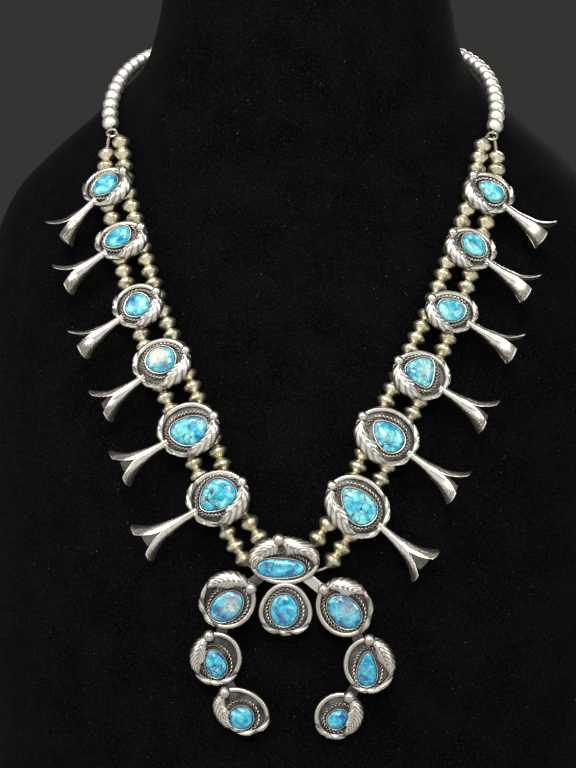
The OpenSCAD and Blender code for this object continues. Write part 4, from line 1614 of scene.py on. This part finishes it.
@dataclass
class BeadStrings:
    """The strings of hollow beads, each spun once and copied along its string."""

    radius: float = 3.3
    half: float = 2.55
    collar: float = 1.35
    bore: float = 0.95
    sides: int = 24
    seam: float = 0.12
    seam_tarnish: float = 0.25
    collar_tarnish: float = 0.45
    seed: int = 7

    def _shade(self, p: Vertex) -> float:
        """Tells how dark a bead is: round its hole, on its seam and elsewhere.

        Args:
            p: The point.

        Returns:
            Its tarnish.
        """
        out = math.hypot(p.co.x, p.co.y)
        if out < self.collar + 0.15:
            return self.collar_tarnish
        return self.seam_tarnish if out > self.radius - self.seam else 0.0

    def _spin(self, form: BeadForm) -> Piece:
        """Spins a bead's outline into a closed bead of the usual size.

        Args:
            form: Its outline.

        Returns:
            The bead, with Z along its hole.
        """
        half = [(self.collar + (self.radius - self.collar) * r, self.half * z) for r, z in form.value]
        mirrored = [(r, -z) for r, z in reversed(half)]
        outline = [(self.bore, self.half), *half, *mirrored, (self.bore, -self.half)]
        edges = [(k, (k + 1) % len(outline)) for k in range(len(outline))]
        mesh = bpy.data.meshes.new("bead")
        mesh.from_pydata([(r, 0, z) for r, z in outline], edges, [])
        bead = Bench.hang("bead", mesh)
        with Bench.edit(bead):
            bpy.ops.mesh.spin(steps=self.sides, angle=2 * math.pi, center=(0, 0, 0), axis=(0, 0, 1))
            bpy.ops.mesh.select_all(action="SELECT")
            bpy.ops.mesh.remove_doubles(threshold=0.001)
        Bench.paint(bead, MARKS_AND_SHADE, self._shade)
        return bead

    @staticmethod
    def _solids(node: Piece) -> list[np.ndarray]:
        """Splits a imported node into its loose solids.

        Args:
            node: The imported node.

        Returns:
            The points of each solid, in metres.
        """
        mesh = node.data
        raw = np.empty(len(mesh.vertices) * 3)
        mesh.vertices.foreach_get("co", raw)
        points, index = np.unique(raw.reshape(-1, 3).round(7), axis=0, return_inverse=True)
        corners = np.empty(len(mesh.loops), dtype=np.int64)
        mesh.loops.foreach_get("vertex_index", corners)
        faces = index.ravel()[corners].reshape(-1, 3)
        label = np.arange(len(points))
        while True:
            low = label[faces].min(axis=1)
            new = label.copy()
            np.minimum.at(new, faces.ravel(), np.repeat(low, 3))
            new = new[new]
            if (new == label).all():
                break
            label = new
        return [points[label == which] for which in np.unique(label)]

    @staticmethod
    def _axis(points: np.ndarray) -> np.ndarray:
        """Finds the axis that a round solid turns about.

        Args:
            points: The solid's points.

        Returns:
            The axis.
        """
        spread = points - points.mean(axis=0)
        values, axes = np.linalg.eigh(spread.T @ spread)
        return axes[:, 0 if values[1] - values[0] > values[2] - values[1] else 2]

    def _beads(self, node: Piece) -> Iterable[np.ndarray]:
        """Splits a string's solids into single beads, where two neighbours share one solid at a bend.

        Args:
            node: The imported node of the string.

        Yields:
            The points of each bead.
        """
        for points in self._solids(node):
            run = (points - points.mean(axis=0)) @ self._axis(points)
            if np.ptp(run) / MM > 3 * self.half:
                middle = (run.max() + run.min()) / 2
                yield points[run <= middle]
                yield points[run >= middle]
            else:
                yield points

    def _placed(self, points: np.ndarray, turn: float) -> Matrix:
        """Works out how the spun bead is sized, turned and laid over a packed one.

        Args:
            points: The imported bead's points.
            turn: Its turn about its hole, in radians.

        Returns:
            The placing matrix.
        """
        middle, axis = points.mean(axis=0), self._axis(points)
        spread = points - middle
        run = spread @ axis
        radius = np.linalg.norm(spread - np.outer(run, axis), axis=1).max() / MM
        way = Vector(axis)
        hint = Vector((0, 1, 0.01)) if abs(way.y) < 0.9 else Vector((1, 0, 0))
        wide, tall = radius / self.radius, run.max() / MM / self.half
        place = along(way, Vector(middle / MM), hint)
        return place @ Matrix.Rotation(turn, 4, "Z") @ Matrix.Diagonal((wide, wide, tall, 1.0))

    def build(self, node: Piece, form: BeadForm, metal: Finish) -> None:
        """Lays a bead in the place of each bead of a string.

        Args:
            node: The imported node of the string.
            form: The beads' outline.
            metal: Their finish.
        """
        rnd = random.Random(self.seed + len(node.name) + ord(node.name[0]))
        master = self._spin(form)
        joined = bmesh.new()
        tone = joined.verts.layers.float.new(TONE)
        joined.verts.layers.float.new(MARKS_AND_SHADE)
        for points in self._beads(node):
            mesh = master.data.copy()
            mesh.transform(self._placed(points, rnd.uniform(0, 6.28)))
            before = len(joined.verts)
            joined.from_mesh(mesh)
            joined.verts.ensure_lookup_table()
            shade = rnd.uniform(0.0, 1.0)
            for vertex in joined.verts[before:]:
                vertex[tone] = shade
            bpy.data.meshes.remove(mesh)
        mesh = bpy.data.meshes.new(f"{node.name}_worn")
        joined.to_mesh(mesh)
        joined.free()
        bpy.data.objects.remove(master)
        Bench.settle(Bench.hang(f"{node.name}_worn", mesh), node.name, "bead_silver", metal, angle=32)


@dataclass
class Bust:
    """The plain bust, rounded over its packed form and covered in velvet."""

    velvet: Finish

    def build(self, node: Piece) -> None:
        """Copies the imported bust, merges it and rounds it.

        Args:
            node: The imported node.
        """
        bust = Bench.hang("neck_bust_velvet", node.data.copy())
        bust.data.transform(Matrix.Scale(1 / MM, 4))
        with Bench.edit(bust):
            bpy.ops.mesh.remove_doubles(threshold=0.01)
            bpy.ops.mesh.dissolve_limited(angle_limit=math.radians(0.5))
            limits = {"face_threshold": math.radians(60), "shape_threshold": math.radians(120)}
            bpy.ops.mesh.tris_convert_to_quads(**limits)
        Bench.modify(bust, "SUBSURF", levels=2, render_levels=2)
        Bench.settle(bust, node.name, "velvet", self.velvet, angle=80)


def dress_small(nodes: dict[str, Piece], finishes: dict[str, Finish]) -> None:
    """Gives the threads, rings and clasp, which stay as packed, their finishes.

    Args:
        nodes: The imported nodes.
        finishes: Their finishes, by how the nodes' names end.
    """
    for name, node in nodes.items():
        for ending, finish in finishes.items():
            if name.endswith(ending):
                node.data.materials.clear()
                node.data.materials.append(finish)
                LOG.info("%s: kept, with its own finish", name)


# The studio


@dataclass(frozen=True)
class Softbox:
    """A rectangular light that faces the necklace, in metres and watts."""

    name: str
    place: Point3
    size: Point2
    power: float
    colour: Colour
    aim: Point3 = (0, -0.06, 0.16)

    def build(self) -> None:
        """Hangs the light."""
        data = bpy.data.lights.new(self.name, "AREA")
        data.shape = "RECTANGLE"
        data.size, data.size_y = self.size
        data.energy, data.color = self.power, self.colour
        light = Bench.hang(self.name, data)
        light.location = self.place
        light.rotation_euler = (Vector(self.aim) - Vector(self.place)).to_track_quat("-Z", "Y").to_euler()


@dataclass(frozen=True)
class Studio:
    """Camera, lights and floor."""

    azimuth: float = 2.9
    elevation: float = 4.0
    roll: float = 0.6
    distance: float = 800.0
    target: Point3 = (-1.9, -120.0, -132.1)
    pixel: float = 0.36
    pixels_high: int = 768
    sensor: float = 36.0
    floor_size: float = 6.0
    floor_colour: Colour = (0.62, 0.62, 0.61)
    backdrop: Colour = (0.034, 0.034, 0.032)
    surround: Colour = (0.05, 0.05, 0.052)
    lights: tuple[Softbox, ...] = (
        Softbox("overhead", (-0.2, -0.75, 1.1), (0.8, 0.45), 9.0, (1.0, 0.97, 0.91)),
        Softbox("left", (-1.0, -0.75, 0.6), (0.4, 0.9), 5.5, (1.0, 0.96, 0.89)),
        Softbox("right", (1.0, -0.8, 0.65), (0.35, 0.9), 5.0, (0.99, 0.98, 0.97)),
        Softbox("front", (0.05, -1.25, 0.75), (0.4, 0.3), 8.0, (1.0, 0.99, 0.95)),
        Softbox("rear", (0.35, 1.15, 0.95), (0.8, 0.5), 14.0, (1.0, 0.99, 0.97)),
    )

    def _camera(self) -> None:
        """Sets up the camera at the photograph's angle."""
        a, e, r = (math.radians(v) for v in (self.azimuth, self.elevation, self.roll))
        back = Vector((math.sin(a) * math.cos(e), -math.cos(a) * math.cos(e), math.sin(e)))
        right = Vector((0, 0, 1)).cross(back).normalized()
        up = back.cross(right)
        turned = right * math.cos(r) + up * math.sin(r)
        upright = up * math.cos(r) - right * math.sin(r)
        data = bpy.data.cameras.new("camera")
        data.sensor_width = self.sensor
        data.lens = self.sensor * (self.distance / self.pixel) / self.pixels_high
        data.clip_start, data.clip_end = 0.01, 20.0
        camera = Bench.hang("camera", data)
        place = (NAPE + Vector(self.target) + back * self.distance) * MM
        camera.matrix_world = matrix_of(turned, upright, back, place)
        bpy.context.scene.camera = camera

    def _world(self) -> None:
        """Sets the dim surroundings, and the backdrop that the camera sees."""
        bpy.context.scene.view_settings.view_transform = "Standard"
        world = bpy.data.worlds.new("studio")
        bpy.context.scene.world = world
        world.use_nodes = True
        tree = world.node_tree
        tree.nodes.clear()
        output = tree.nodes.new("ShaderNodeOutputWorld")
        mixed = tree.nodes.new("ShaderNodeMixShader")
        path = tree.nodes.new("ShaderNodeLightPath")
        tree.links.new(path.outputs["Is Camera Ray"], mixed.inputs[0])
        for index, colour in ((1, self.surround), (2, self.backdrop)):
            shade = tree.nodes.new("ShaderNodeBackground")
            shade.inputs["Color"].default_value = (*colour, 1.0)
            tree.links.new(shade.outputs[0], mixed.inputs[index])
        tree.links.new(mixed.outputs[0], output.inputs["Surface"])

    def _floor(self) -> None:
        """Lays the plain pale floor."""
        floor = Bench.add("plane", size=self.floor_size)
        floor.name = "floor"
        finish = Graph("pale_floor").surface({"Base Color": self.floor_colour, "Roughness": 0.75})
        floor.data.materials.append(finish)

    def build(self) -> None:
        """Builds the whole studio."""
        self._camera()
        for light in self.lights:
            light.build()
        self._world()
        self._floor()


def main() -> None:
    """Builds the studio, then each sub-assembly in order."""
    logging.basicConfig(level=logging.INFO, format="%(name)s: %(message)s")
    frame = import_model()
    nodes = frame["nodes"]
    Studio().build()
    silver = SilverFinish("silver", (0.88, 0.85, 0.8), (0.74, 0.69, 0.61), rough=0.27).make()
    bead_silver = SilverFinish("bead_silver", (0.86, 0.83, 0.7), (0.7, 0.63, 0.42), rough=0.3).make()
    neck_silver = SilverFinish("neck_silver", (1.0, 0.98, 0.94), (0.92, 0.89, 0.8), rough=0.4).make()
    thread = SilverFinish("thread", (0.5, 0.48, 0.42), (0.4, 0.37, 0.3), rough=0.4).make()
    turquoise = TurquoiseFinish().make()
    Bust(VelvetFinish().make()).build(nodes["neck_bust"])
    beads = BeadStrings()
    for side in Side:
        for string in ("outer", "inner"):
            beads.build(nodes[f"{side.word}_{string}_beads"], BeadForm.CONE, bead_silver)
        beads.build(nodes[f"{side.word}_neck_beads"], BeadForm.ROUND, neck_silver)
    blossoms = Blossoms(Strands(), silver, turquoise)
    for side in Side:
        for number in range(1, 7):
            blossoms.build(side, number)
    Pendant(silver, turquoise).build()
    dress_small(nodes, {"thread": thread, "jump_ring": bead_silver, "clasp": silver})


if __name__ == "__main__":
    main()
